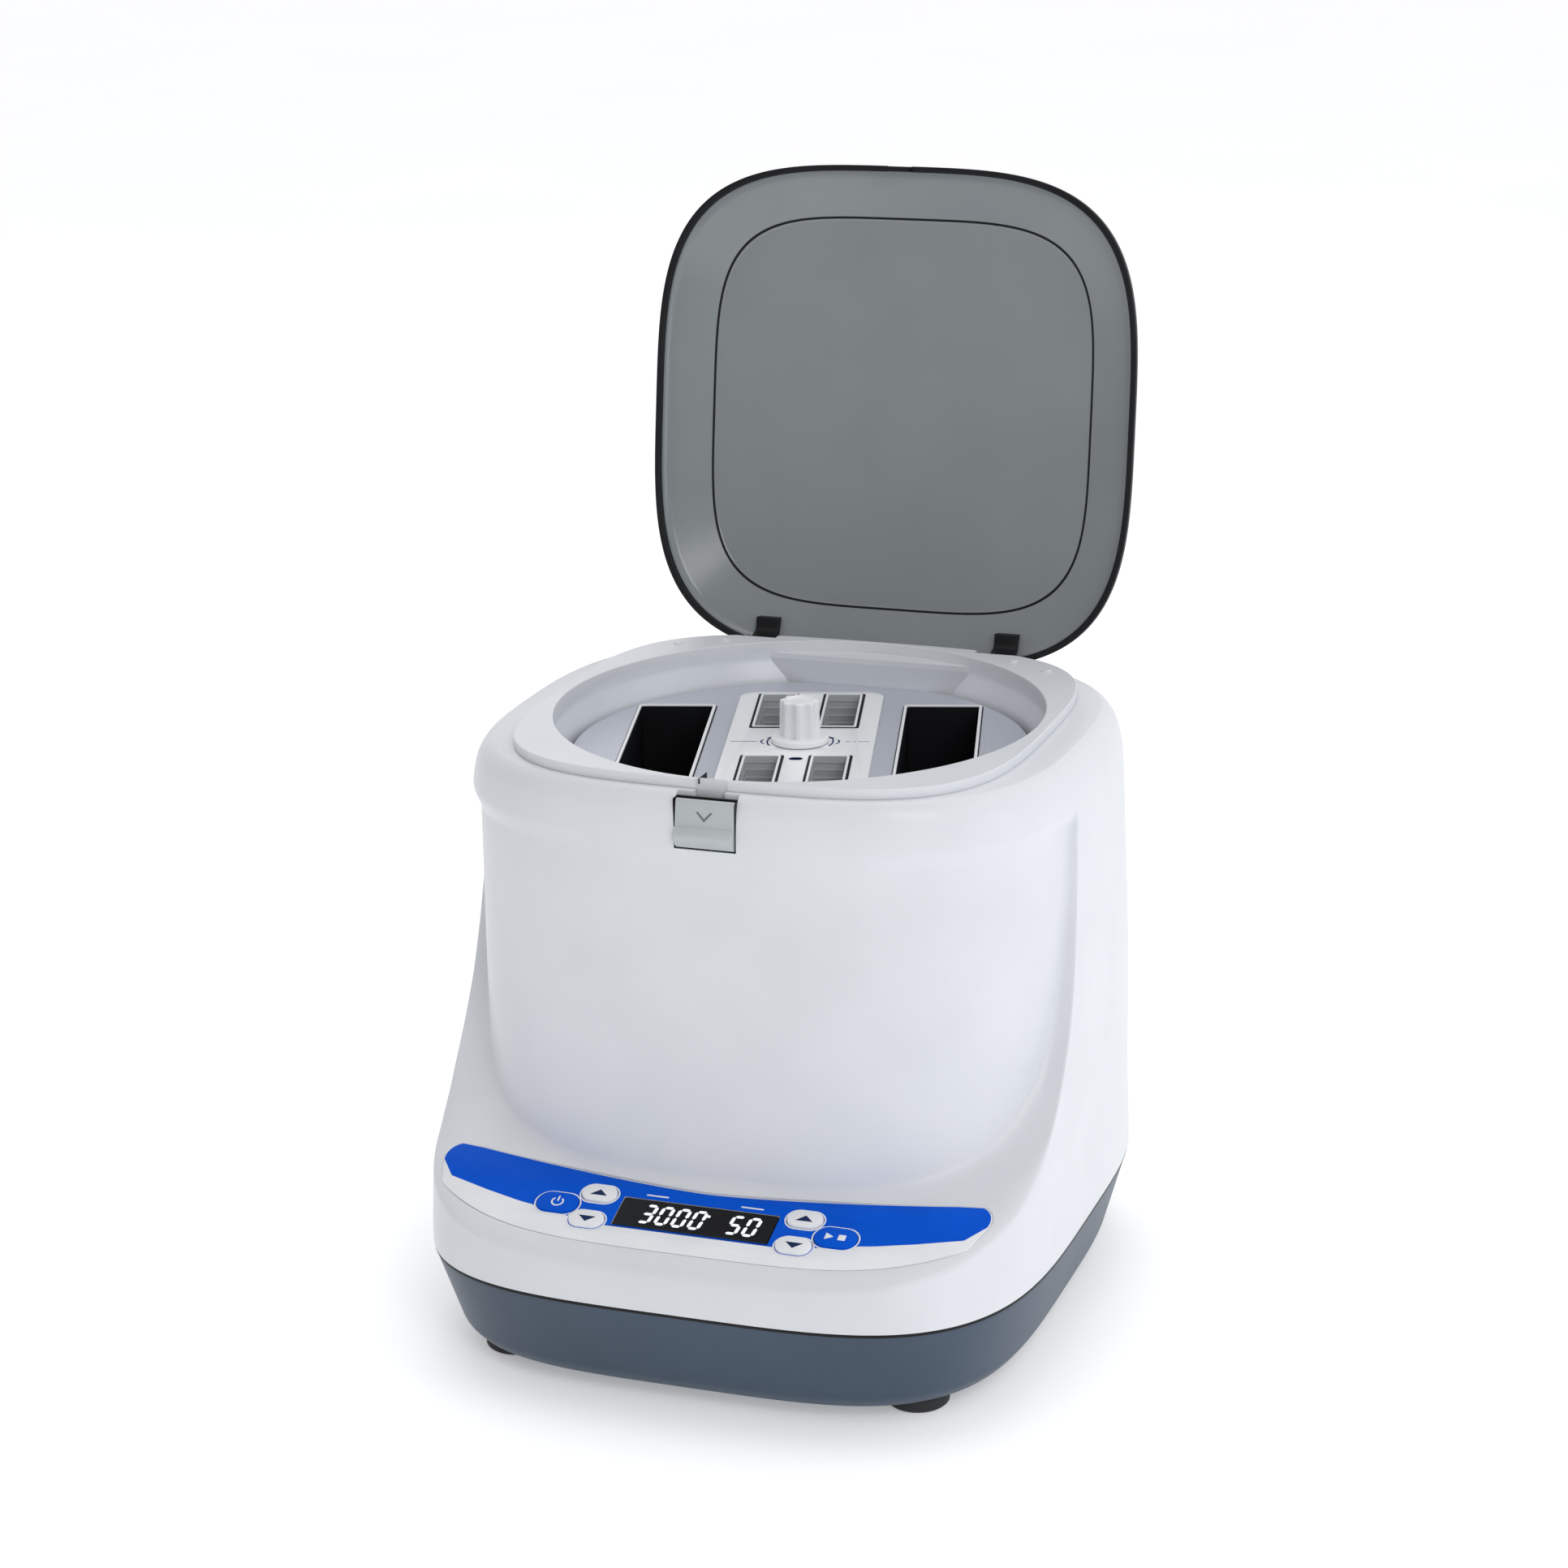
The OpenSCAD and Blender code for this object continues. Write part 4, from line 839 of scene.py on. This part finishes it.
def display():
    pane = cut_sheet("display_pane", [flat_box(76.3, 18.8, (0, DISPLAY[2]), 0.9)], -2.6, 0.18,
                     0.15,
                     PANEL, "display_black")
    fit(pane, "housing", "display_black", "display_window")
    digits = digit_loops("3000", -26.5, 13.0) + digit_loops("50", 16.5, 13.0)
    digits.append(oval_loop(1.7, 1.7, (5.6, DISPLAY[2] + 3.4), 12))
    lit = [cut_sheet("bar", [loop], 0.16, 0.24, 0.01, PANEL, "digit") for loop in digits]
    return fit(dress_as("display_digits", joined(*lit), "digit"), "housing", "display_black")


SEGMENTS = {"0": "abcdef", "3": "abcdg", "5": "acdfg"}


def digit_loops(text, left, height):
    """Seven-bar digits, leaning a little, as six-sided bars."""
    wide, gap, thick = height * 0.5, height * 0.13, height * 0.13
    half = height / 2
    bars = {"a": ((0, 2), (1, 2)), "b": ((1, 2), (1, 1)), "c": ((1, 1), (1, 0)),
            "d": ((0, 0), (1, 0)),
            "e": ((0, 1), (0, 0)), "f": ((0, 2), (0, 1)), "g": ((0, 1), (1, 1))}
    loops = []
    for k, mark in enumerate(text):
        for bar in SEGMENTS[mark]:
            (x0, y0), (x1, y1) = bars[bar]
            a = np.array([x0 * (wide - thick), y0 * (half - thick / 2)], float)
            b = np.array([x1 * (wide - thick), y1 * (half - thick / 2)], float)
            along = (b - a) / np.linalg.norm(b - a)
            across = np.array([-along[1], along[0]]) * thick / 2
            a, b = a + along * 0.25, b - along * 0.25
            ring = [a, a + along * thick / 2 + across, b - along * thick / 2 + across, b,
                    b - along * thick / 2 - across, a + along * thick / 2 - across]
            place = np.array([left + k * (wide + gap), DISPLAY[2] - half + thick / 2])
            loops.append([(p + place + np.array([0.12 * p[1], 0])).tolist() for p in ring])
    return loops


def keys():
    for name, x, v, w, h in KEYS:
        blue = name in ("power", "start")
        finish = "membrane" if blue else "key_white"
        cap = cut_sheet("keycap_" + name, [oval_loop(w, h, (x, v), 48)], -5.5, 1.2, 0.5, PANEL,
                        finish)
        fit(cap, "key_" + name, finish, "key_" + name)
        marks, ink = key_marks(name, x, v, w, h)
        print_ = [cut_sheet("mark", loops, 1.17, 1.24, 0.01, PANEL, ink) for loops in marks]
        fit(dress_as("keymark_" + name, joined(*print_), ink), "key_" + name, finish)
    # A fine light line is printed round each blue key
    rings = [cut_sheet("line", [oval_loop(w + 2.4, h + 2.4, (x, v), 48), oval_loop(w + 1.0,
            h + 1.0, (x, v), 48)],
                       0.08, 0.2, 0.01, PANEL, "key_white") for _, x, v, w, h in KEYS]
    dashes = [cut_sheet("dash", [flat_box(11, 0.9, (x, 3.4), 0.3)], 0.08, 0.18, 0.01, PANEL,
                        "key_white")
              for x in (-23, 24)]
    fit(dress_as("key_outlines", joined(*rings, *dashes), "key_white"), "housing", "key_white")


def key_marks(name, x, v, w, h):
    if name.startswith(("up", "down")):
        s = 1 if name.startswith("up") else -1
        return [[[(x - 4.3, v - 1.7 * s), (x + 4.3, v - 1.7 * s), (x, v + 2.1 * s)]]], "dark_print"
    if name == "power":
        arc = [(x + r * math.sin(a), v + r * math.cos(a)) for r, order in ((3.1, 1), (2.3, -1))
               for a in [math.radians(t) for t in range(40, 321, 20)][::order]]
        return [[arc], [flat_box(0.8, 3.4, (x, v + 2), 0.3)]], "key_white"
    return [[[(x - 5, v - 2.2), (x - 1, v), (x - 5, v + 2.2)]],
            [flat_box(3.6, 3.6, (x + 3, v), 0.3)]], "key_white"


# ---------- latch ----------


def latch():
    top, low, front = 280.0, 258.0, -106.5
    side = eased([(front + 1.7, low + 0.1), (front - 2.1, low + 4.6), (front - 2.3, low + 7.6),
                  (front - 0.2, low + 10.2), (front + 1.1, low + 10.6), (front + 2.9, top - 0.2),
                  (front + 4.2, top + 1.0), (front + 5, top + 0.6), (front + 5, low + 0.1)],
                 [0.6, 2.2, 1.2, 1.0, 0.5, 1.2, 0.6, 0.3, 0.3], 4, closed=True)
    loops = [[(x, y, z) for y, z in side] for x in (-14.2, 14.2)]
    button = broken(lofted("latch_press_bar", loops, MACHINE, "latch_grey"), 0.45, 50)
    fit(dress(button, "latch_grey"), "latch", "latch_grey", "latch_button")
    # A plain chevron is pressed into the upper face
    lean = math.degrees(math.atan2(8.6, 1.45))
    face = MACHINE @ moved(0, front + 1.86, low + 15.2) @ turned(lean, "X")
    arrow = [(-4.2, 2.4), (-2.9, 2.4), (0, -0.6), (2.9, 2.4), (4.2, 2.4), (0, -2.2)]
    mark = cut_sheet("latch_mark", [arrow], -0.02, 0.1, 0.01, face, "line_grey")
    fit(mark, "latch", "latch_grey")
    well = block("well", (-15.0, -99.3, 257.4), (15.0, -98.2, 281), MACHINE, "black_nylon", 0.2)
    floor_ = block("floor", (-15.0, -104.0, 257.35), (15.0, -98.2, 257.75), MACHINE, "black_nylon")
    cheeks = [block("cheek", (min(s * 14.98, s * 15.12), -104.2, 257.35),
                    (max(s * 14.98, s * 15.12), -98.2, 281), MACHINE, "black_nylon") for s in (-1,
                            1)]
    fit(dress_as("latch_well", joined(well, floor_, *cheeks), "black_nylon"), "housing",
        "black_nylon",
        "latch_frame")


# ---------- lid ----------

LID_HALF, LID_FRONT, LID_BACK, LID_POWER = 127.5, -97.0, 155.0, 3.55


def lid_loop(inset, z, power=LID_POWER):
    return soft_loop(LID_HALF - inset, LID_FRONT + inset, LID_BACK - inset, power, z, 260)


def lid_shell():
    outer = eased([(0, 285.0, 3.55), (0, 288.4, 3.55), (2.2, 291.2, 3.55), (25, 302.5, 4.1),
                   (56, 304.3, 3.8), (106, 305.4, 2.2)], [0, 1.6, 1.6, 3.5, 10, 0], 5)
    inner = eased([(2.5, 285.0, 3.55), (2.5, 288.2, 3.55), (4.7, 290.6, 3.55), (26, 299.4, 4.16),
                   (27.2, 300.4, 4.16), (56, 301.8, 3.8), (106, 302.9, 2.2)],
                  [0, 1.2, 1.2, 0.7, 0.8, 10, 0], 5)
    loops = [lid_loop(*p) for p in reversed(inner)] + [lid_loop(*p) for p in outer]
    shell = lofted("lid_cover", loops, LID, "lid_smoke")
    return fit(with_lid_notches(shell, "lid_smoke"), "lid", "lid_smoke", "lid_shell")


def with_lid_notches(obj, finish):
    notch = [tool_box((s * 64.5 - 10.4, HINGE_Y - 6, 282), (s * 64.5 + 10.4, HINGE_Y + 8, 289),
                      LID)
             for s in (-1, 1)]
    notch.append(tool_box((-6.7, -99, 282), (6.7, -93, 288.1), LID))
    return dress(worked(obj, joined(*notch), "DIFFERENCE"), finish, 34)


def lid_rim():
    """Black rubber edging: a soft bead that grips the cover's rim."""
    rows = eased([(-0.25, 283.3), (2.7, 283.3), (2.7, 286.4), (2.45, 286.6), (2.45, 285.0),
                  (0.05, 285.0), (0.05, 286.8), (-0.25, 286.6)],
                 [0.5, 0.6, 0.3, 0.1, 0, 0, 0.1, 0.2], 3, closed=True)
    rim = lofted("lid_rim_bead", [lid_loop(i, z) for i, z in rows], LID, "black_nylon", wrap=True)
    return fit(with_lid_notches(rim, "black_nylon"), "lid", "black_nylon", "lid_rim_trim")


def lid_line():
    """A fine dark line runs round the inner pane, just inside its fold."""
    rows = eased([(25.8, 299.1), (26.8, 299.7), (26.5, 300.0), (25.5, 299.45)], 0.1, 2,
                 closed=True)
    loops = [lid_loop(i, z, 4.16) for i, z in rows]
    return fit(lofted("lid_fold_line", loops, LID, "well_black", wrap=True), "lid", "lid_smoke")


def hinge_arms():
    """Curved arms: quarter rounds that rise in front of the hinge line."""
    for s, side in ((-1, "left"), (1, "right")):
        base, x0 = HINGE_Y, s * 64.5
        outline = eased([(base - 14, 288.5), (base - 7.4, 288.5), (base - 4.6, 281.7),
                         (base - 4.6, 278.2), (base + 2.6, 276.2), (base + 4.6, 281.2),
                         (base + 1.2, 286.6),
                         (base - 3.2, 291.6), (base - 14, 294.6)],
                        [0.8, 2.5, 2.0, 3.0, 3.4, 3.0, 2.0, 3.0, 0.8], 5, closed=True)
        loops = [[(x, y, z) for y, z in outline] for x in (x0 - 6, x0 + 6)]
        arm = lofted("hinge_arm_cover_" + side, loops, LID, "black_nylon")
        pin = revolved("pin", [(2.1, -9), (2.1, 9)], LID @ moved(x0, HINGE_Y, HINGE_Z) @ turned(90,
                "Y"),
                       "black_nylon", 32, wrap=False)
        arm = broken(worked(arm, pin, "DIFFERENCE"), 0.4, 50)
        fit(dress(arm, "black_nylon"), "lid", "black_nylon", "hinge_arm_" + side)


# ---------- rotor ----------

POCKETS = (-66.75, 66.75)
WINDOWS = [(sx * 16.45, sy * 52.1) for sx in (-1, 1) for sy in (-1, 1)]


def rotor_disc():
    profile = eased([(4.2, ROTOR_Z), (111, ROTOR_Z), (111, ROTOR_Z - 3), (110, ROTOR_Z - 3.2),
                     (110, ROTOR_Z - 12), (108, ROTOR_Z - 12), (108, ROTOR_Z - 3),
                     (4.2, ROTOR_Z - 3)],
                    [0, 0.9, 0.5, 0.3, 0.5, 0.5, 0.3, 0], 4, closed=True)
    disc = revolved("rotor_deck", profile, ROTOR, "rotor_grey", 180)
    tools = [block("tool", (x - 20.1, -67.1, 250), (x + 20.1, 67.1, 280), ROTOR, "rotor_grey")
             for x in POCKETS]
    tools += [block("tool", (x - 11.3, y - 30.5, 250), (x + 11.3, y + 30.5, 280), ROTOR,
                    "rotor_grey")
              for x, y in WINDOWS]
    disc = worked(disc, joined(*tools), "DIFFERENCE")
    return fit(dress(disc, "rotor_grey"), "rotor", "rotor_grey", "rotor_disc")


def plate_pockets():
    for x, side in zip(POCKETS, ("left", "right")):
        place = ROTOR @ moved(x)
        rows = [(40, 134, 2.5, 178.5), (40, 134, 2.5, ROTOR_Z + 0.3), (36, 130, 1.2,
                ROTOR_Z + 0.3),
                (36, 130, 1.2, 181.5), (34, 128, 1.5, 180.5)]
        well = lofted("plate_pocket_well_" + side, [box_loop(*r) for r in rows], place,
                      "well_black")
        fit(well, "rotor", "black_nylon", "plate_pocket_" + side)
        # The lip is a pressed frame, painted bright white as a painted highlight where the far rim catches the
        # light; its outer end is trimmed to the deck's edge
        lip = cut_sheet("plate_pocket_lip_" + side,
                        [flat_box(39, 133, (0, 0), 2.6), flat_box(36, 130, (0, 0), 1.2)],
                        ROTOR_Z + 0.02, ROTOR_Z + 1.2, 0.35, place, "rotor_grey")
        trim = revolved("trim", [(110.4, 262), (150, 262), (150, 275), (110.4, 275)], ROTOR,
                        "rotor_grey", 180)
        lip = worked(lip, trim, "DIFFERENCE")
        # Painted highlight: the whole lip takes the bright knob white, for the lit far rim
        fit(dress(lip, "knob_white"), "rotor", "rotor_grey")


def centre_plate():
    holes = [flat_box(19.1, 57.4, w, 1.2) for w in WINDOWS]
    holes.append([(4.3 * math.cos(a), 4.3 * math.sin(a)) for a in np.linspace(0, 6.1, 32)])
    holes += [[(x + 1.6 * math.cos(a), y + 1.6 * math.sin(a)) for a in np.linspace(0, 6.0, 20)]
              for x, y in [(11 * math.cos(math.radians(t)), 11 * math.sin(math.radians(t)))
                           for t in (45, 135, 225, 315)]]
    plate = cut_sheet("centre_deck", [flat_box(72.4, 172, (0, 0), 9, 8)] + holes,
                      ROTOR_Z + 0.02, ROTOR_Z + 2, 0.45, ROTOR, "knob_white")
    return fit(plate, "rotor", "white_abs", "centre_plate")


def strip_trays():
    shells = []
    for x, y in WINDOWS:
        z = ROTOR_Z
        rows = [(22, 60.3, 1.5, z - 34), (22, 60.3, 1.5, z - 0.06), (18.4, 56.7, 1.0, z - 0.05),
                (18.4, 56.7, 1.0, z + 2.3), (16.0, 54.3, 0.8, z + 2.3), (16.0, 54.3, 0.8, z - 1.2)]
        # The walls step inwards in shallow ribs, one every 4 mm
        for k in range(7):
            deep = z - 1.2 - 4 * k
            rows += [(16.9, 55.2, 0.8, deep - 0.5), (16.9, 55.2, 0.8, deep - 3.0),
                     (16.2, 54.5, 0.8, deep - 3.4)]
        rows += [(16.2, 54.5, 0.8, z - 32.4)]
        shells.append(lofted("tray", [box_loop(*r, corner=4) for r in rows], ROTOR @ moved(x, y),
                             "tray_grey"))
    trays = dress_as("strip_tray_set", joined(*shells), "tray_grey")
    fit(trays, "rotor", "rotor_grey", "strip_tray_left_front", "strip_tray_left_rear",
        "strip_tray_right_front", "strip_tray_right_rear")
    # Dark joint between each tray's rim and the plate, and a light cap on the rim
    seams = [cut_sheet("seam", [flat_box(21.2, 59.5, w, 1.4), flat_box(18.5, 56.8, w, 1.0)],
                       ROTOR_Z + 1.0, ROTOR_Z + 2.08, 0.03, ROTOR, "dark_print") for w in WINDOWS]
    fit(dress_as("tray_joints", joined(*seams), "well_black"), "rotor", "rotor_grey")
    caps = [cut_sheet("cap", [flat_box(18.4, 56.7, w, 1.0), flat_box(16.0, 54.3, w, 0.8)],
                      ROTOR_Z + 2.28, ROTOR_Z + 2.55, 0.1, ROTOR, "knob_white") for w in WINDOWS]
    fit(dress_as("tray_rims", joined(*caps), "knob_white"), "rotor", "rotor_grey")


def plate_marks():
    """Turning arrows either side of the knob, dashes across the plate and a spot mark."""
    loops = []
    for s in (-1, 1):
        for r0, r1, a0, a1 in ((15.6, 16.4, -26, 20),):
            arc = [(r * math.cos(math.radians(a)), r * math.sin(math.radians(a)))
                   for r, order in ((r0, 1), (r1, -1)) for a in np.linspace(a0, a1, 12)[::order]]
            head = [(16 * math.cos(math.radians(a1 + d)) * 1.0 + k,
                     16 * math.sin(math.radians(a1 + d)))
                    for d, k in ((0, -1.9), (0, 1.9), (12, 0))]
            loops += [[(s * x, y) for x, y in arc], [(s * x, y) for x, y in head]]
            loops.append([(s * (x + 3.0), y * 0.55) for x, y in arc])
        for x0, x1 in ((22, 24.6), (26, 27), (28.4, 33.6)) if s > 0 else ((21, 34),):
            loops.append(flat_box(x1 - x0, 0.45, (s * (x0 + x1) / 2, 0), 0.15))
    loops += [oval_loop(5.2, 2.0, (0, -28)), oval_loop(2.0, 4.4, (0, -28))]
    ink = [cut_sheet("ink", [loop], ROTOR_Z + 1.98, ROTOR_Z + 2.07, 0.01, ROTOR, "dark_print")
           for loop in loops]
    return fit(dress_as("plate_print", joined(*ink), "dark_print"), "rotor", "white_abs")


def knob():
    """Fluted knob on a round flange, with a shallow dish in its top."""
    base = ROTOR_Z + 2.3
    flange = revolved("rotor_knob_flange", eased(
        [(4.1, base), (14, base), (14, base + 3), (9, base + 3.4), (4.1, base + 3.4)],
        [0, 0.6, 1.3, 0.5, 0], 5, closed=True), ROTOR, "knob_white", 64)
    angle = np.arange(160) * 360 / 160
    flute = np.clip(0.5 - 0.62 * np.cos(np.radians(8 * angle)), 0, 1)
    rows = eased([(9.9, base + 2.6), (9.9, base + 4), (9.5, base + 20), (9.1, base + 21.0),
                  (6.4, base + 21.0),
                  (6.0, base + 20.3)], [0, 1.2, 1.2, 0.9, 0.3, 0], 5)
    loops = []
    for r, z in rows:
        bite = 1.5 if r > 7.5 else 0.0
        radius = r - bite * flute
        loops.append(np.stack([radius * np.cos(np.radians(angle)),
                               radius * np.sin(np.radians(angle)),
                               np.full(160, z)], 1))
    grip = lofted("grip", loops, ROTOR, "knob_white")
    return fit(dress_as("rotor_knob_grip", joined(flange, grip), "knob_white", 34), "knob",
               "white_abs",
               "rotor_knob")


# ---------- rear panel ----------


def rear_sockets():
    y = 160.0
    plate = cut_sheet("inlet_flange", [flat_box(42, 30, (81, 94.5), 3, 6), flat_box(24.2, 21,
            (81, 95), 2)],
                      0, 2, 0.4, MACHINE @ moved(0, y, 0) @ turned(90, "X") @ turned(180, "Y"),
                      "black_nylon")
    body = block("inlet_body", (-94.5, 134, 84.5), (-67.5, y + 0.6, 104.5), MACHINE, "black_nylon",
                 0.4)
    body = worked(body, block("tool", (-93, 144, 85.9), (-69, 170, 96.9), MACHINE, "black_nylon"),
                  "DIFFERENCE")
    body = worked(body, block("tool", (-90.3, 146, 99.2), (-71.7, 170, 102.8), MACHINE,
                              "black_nylon"), "DIFFERENCE")
    pins = [block("pin", (-81 + dx - 1, 146, 91.4 + dz - 2), (-81 + dx + 1, 157.5, 91.4 + dz + 2),
                  MACHINE,
                  "zinc_steel", 0.3) for dx, dz in ((-7, -0.8), (7, -0.8), (0, 1.6))]
    fit(dress_as("inlet_pins", joined(*pins), "zinc_steel"), "housing", "zinc_steel")
    fit(dress_as("mains_inlet", joined(plate, body), "black_nylon"), "housing", "black_nylon",
        "power_inlet")
    drawer = block("fuse_tray", (-89.9, 147, 99.5), (-72.1, 162.1, 102.5), MACHINE, "black_nylon",
                   0.35)
    fit(drawer, "housing", "black_nylon", "fuse_drawer")


def rocker():
    """Rocker with its two dished halves, tilted at rest."""
    place = MACHINE @ moved(-35, 158, 94.5) @ turned(9, "X")
    face = [(3.0, 8.8), (1.5, 4.2), (1.3, 0), (1.5, -4.2), (3.0, -8.8)]
    back = [(-8.0, -4.7), (-8.0, 4.7)]
    ring = eased([(y, z) for y, z in face + back], [0.5, 3, 2.5, 3, 0.5, 1, 1], 4, closed=True)
    loops = [[(x, y, z) for y, z in ring] for x in (-6.2, 6.2)]
    button = broken(lofted("power_rocker", loops, place, "black_nylon"), 0.35, 50)
    fit(dress(button, "black_nylon"), "switch", "black_nylon", "power_switch")
    marks = [block("mark", (-0.35, 2.0, 4.0), (0.35, 2.35, 6.6), place, "key_white")]
    marks.append(lofted("mark", [circle_loop(1.4, 0, 24), circle_loop(1.4, 0.3, 24),
                                 circle_loop(1.0, 0.3, 24),
                                 circle_loop(1.0, 0, 24)], place @ moved(0, 2.3, -5.4) @ turned(90,
                                         "X"),
                        "key_white", wrap=True))
    fit(dress_as("rocker_marks", joined(*marks), "key_white"), "switch", "black_nylon")


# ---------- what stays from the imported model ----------


def dress_kept_nodes():
    """Every node that still shows takes the finish of its slot."""
    slots = {p["node"]: p["material_slot"] for p in frame["record"]["subparts"]}
    for name, node in frame["nodes"].items():
        finish = FINISH[slots[name]]
        if not node.material_slots:
            continue
        for holder in node.material_slots:
            holder.link = "OBJECT"
            holder.material = finish


# ---------- stage ----------


def studio():
    floor_ = piece("floor", [(-6, -6, 0), (6, -6, 0), (6, 6, 0), (-6, 6, 0)], [(0, 1, 2, 3)],
                   Matrix.Identity(4), "white_abs")
    floor_.data.materials[0] = new_finish(
        "pale_floor", {"Roughness": 0.6, "Specular IOR Level": 0.1,
                       "Emission Color": colour("ffffff"), "Emission Strength": 0.3},
        moulded(colour("f6f7f8"), colour("f4f5f6"), 3.0, 0.02, 0.6, 0.02, 400))
    # A white backdrop behind and to the right, falling off to a dimmer room at the front left
    world = bpy.data.worlds.new("studio")
    world.use_nodes = True
    tree = world.node_tree
    tree.nodes.clear()
    facing = tree.nodes.new("ShaderNodeVectorMath")
    facing.operation = "DOT_PRODUCT"
    facing.inputs[1].default_value = (0.28, 0.96, 0.0)
    tree.links.new(add(tree, "TexCoord").outputs["Generated"], facing.inputs[0])
    level = add(tree, "MapRange", {"Value": facing.outputs["Value"], "From Min": -0.5,
                                   "From Max": 0.5, "To Min": 0.42, "To Max": 1.04})
    glow = add(tree, "Background", {"Color": colour("fdfdff"),
                                    "Strength": level.outputs["Result"]})
    add(tree, "OutputWorld", {"Surface": glow.outputs["Background"]})
    bpy.context.scene.world = world
    bpy.context.scene.view_settings.view_transform = "Standard"
    for name, where, size, power, shade in (
            ("key_light", (1.2, -1.7, 1.5), 1.2, 14, "ffffff"),
            ("side_light", (2.2, -0.2, 0.35), 0.9, 3, "e6f0ff"),
            ("top_light", (-0.3, 0.4, 2.3), 1.6, 8, "ffffff")):
        lamp = bpy.data.lights.new(name, "AREA")
        lamp.shape, lamp.size, lamp.energy = "DISK", size, power
        lamp.color = colour(shade)[:3]
        holder = bpy.data.objects.new(name, lamp)
        holder.location = where
        aim = Vector((0, 0, 0.2)) - holder.location
        holder.rotation_euler = aim.to_track_quat("-Z", "Y").to_euler()
        bpy.context.scene.collection.objects.link(holder)


def camera():
    target, distance = Vector((-0.0068, 0.0, 0.2500)), 1.8202
    azimuth, elevation, roll = (math.radians(v) for v in (19.96, 17.67, -1.26))
    back = Vector((math.sin(azimuth) * math.cos(elevation),
                   -math.cos(azimuth) * math.cos(elevation),
                   math.sin(elevation)))
    level = Vector((math.cos(azimuth), math.sin(azimuth), 0))
    right = level * math.cos(roll) + back.cross(level) * math.sin(roll)
    up = back.cross(right)
    lens = bpy.data.cameras.new("camera")
    lens.lens, lens.sensor_width = 86.1, 36.0
    eye = bpy.data.objects.new("camera", lens)
    eye.matrix_world = moved(*(target + back * distance)) @ Matrix((right, up,
            back)).transposed().to_4x4()
    bpy.context.scene.collection.objects.link(eye)
    bpy.context.scene.camera = eye


camera()
studio()
housing_body()
base_pan()
parting_seam()
feet()
chamber_ring()
ring_marks()
lid_bumpers()
chamber_bowl()
control_overlay()
display()
keys()
latch()
lid_shell()
lid_rim()
lid_line()
hinge_arms()
rotor_disc()
plate_pockets()
centre_plate()
strip_trays()
plate_marks()
knob()
rear_sockets()
rocker()
dress_kept_nodes()
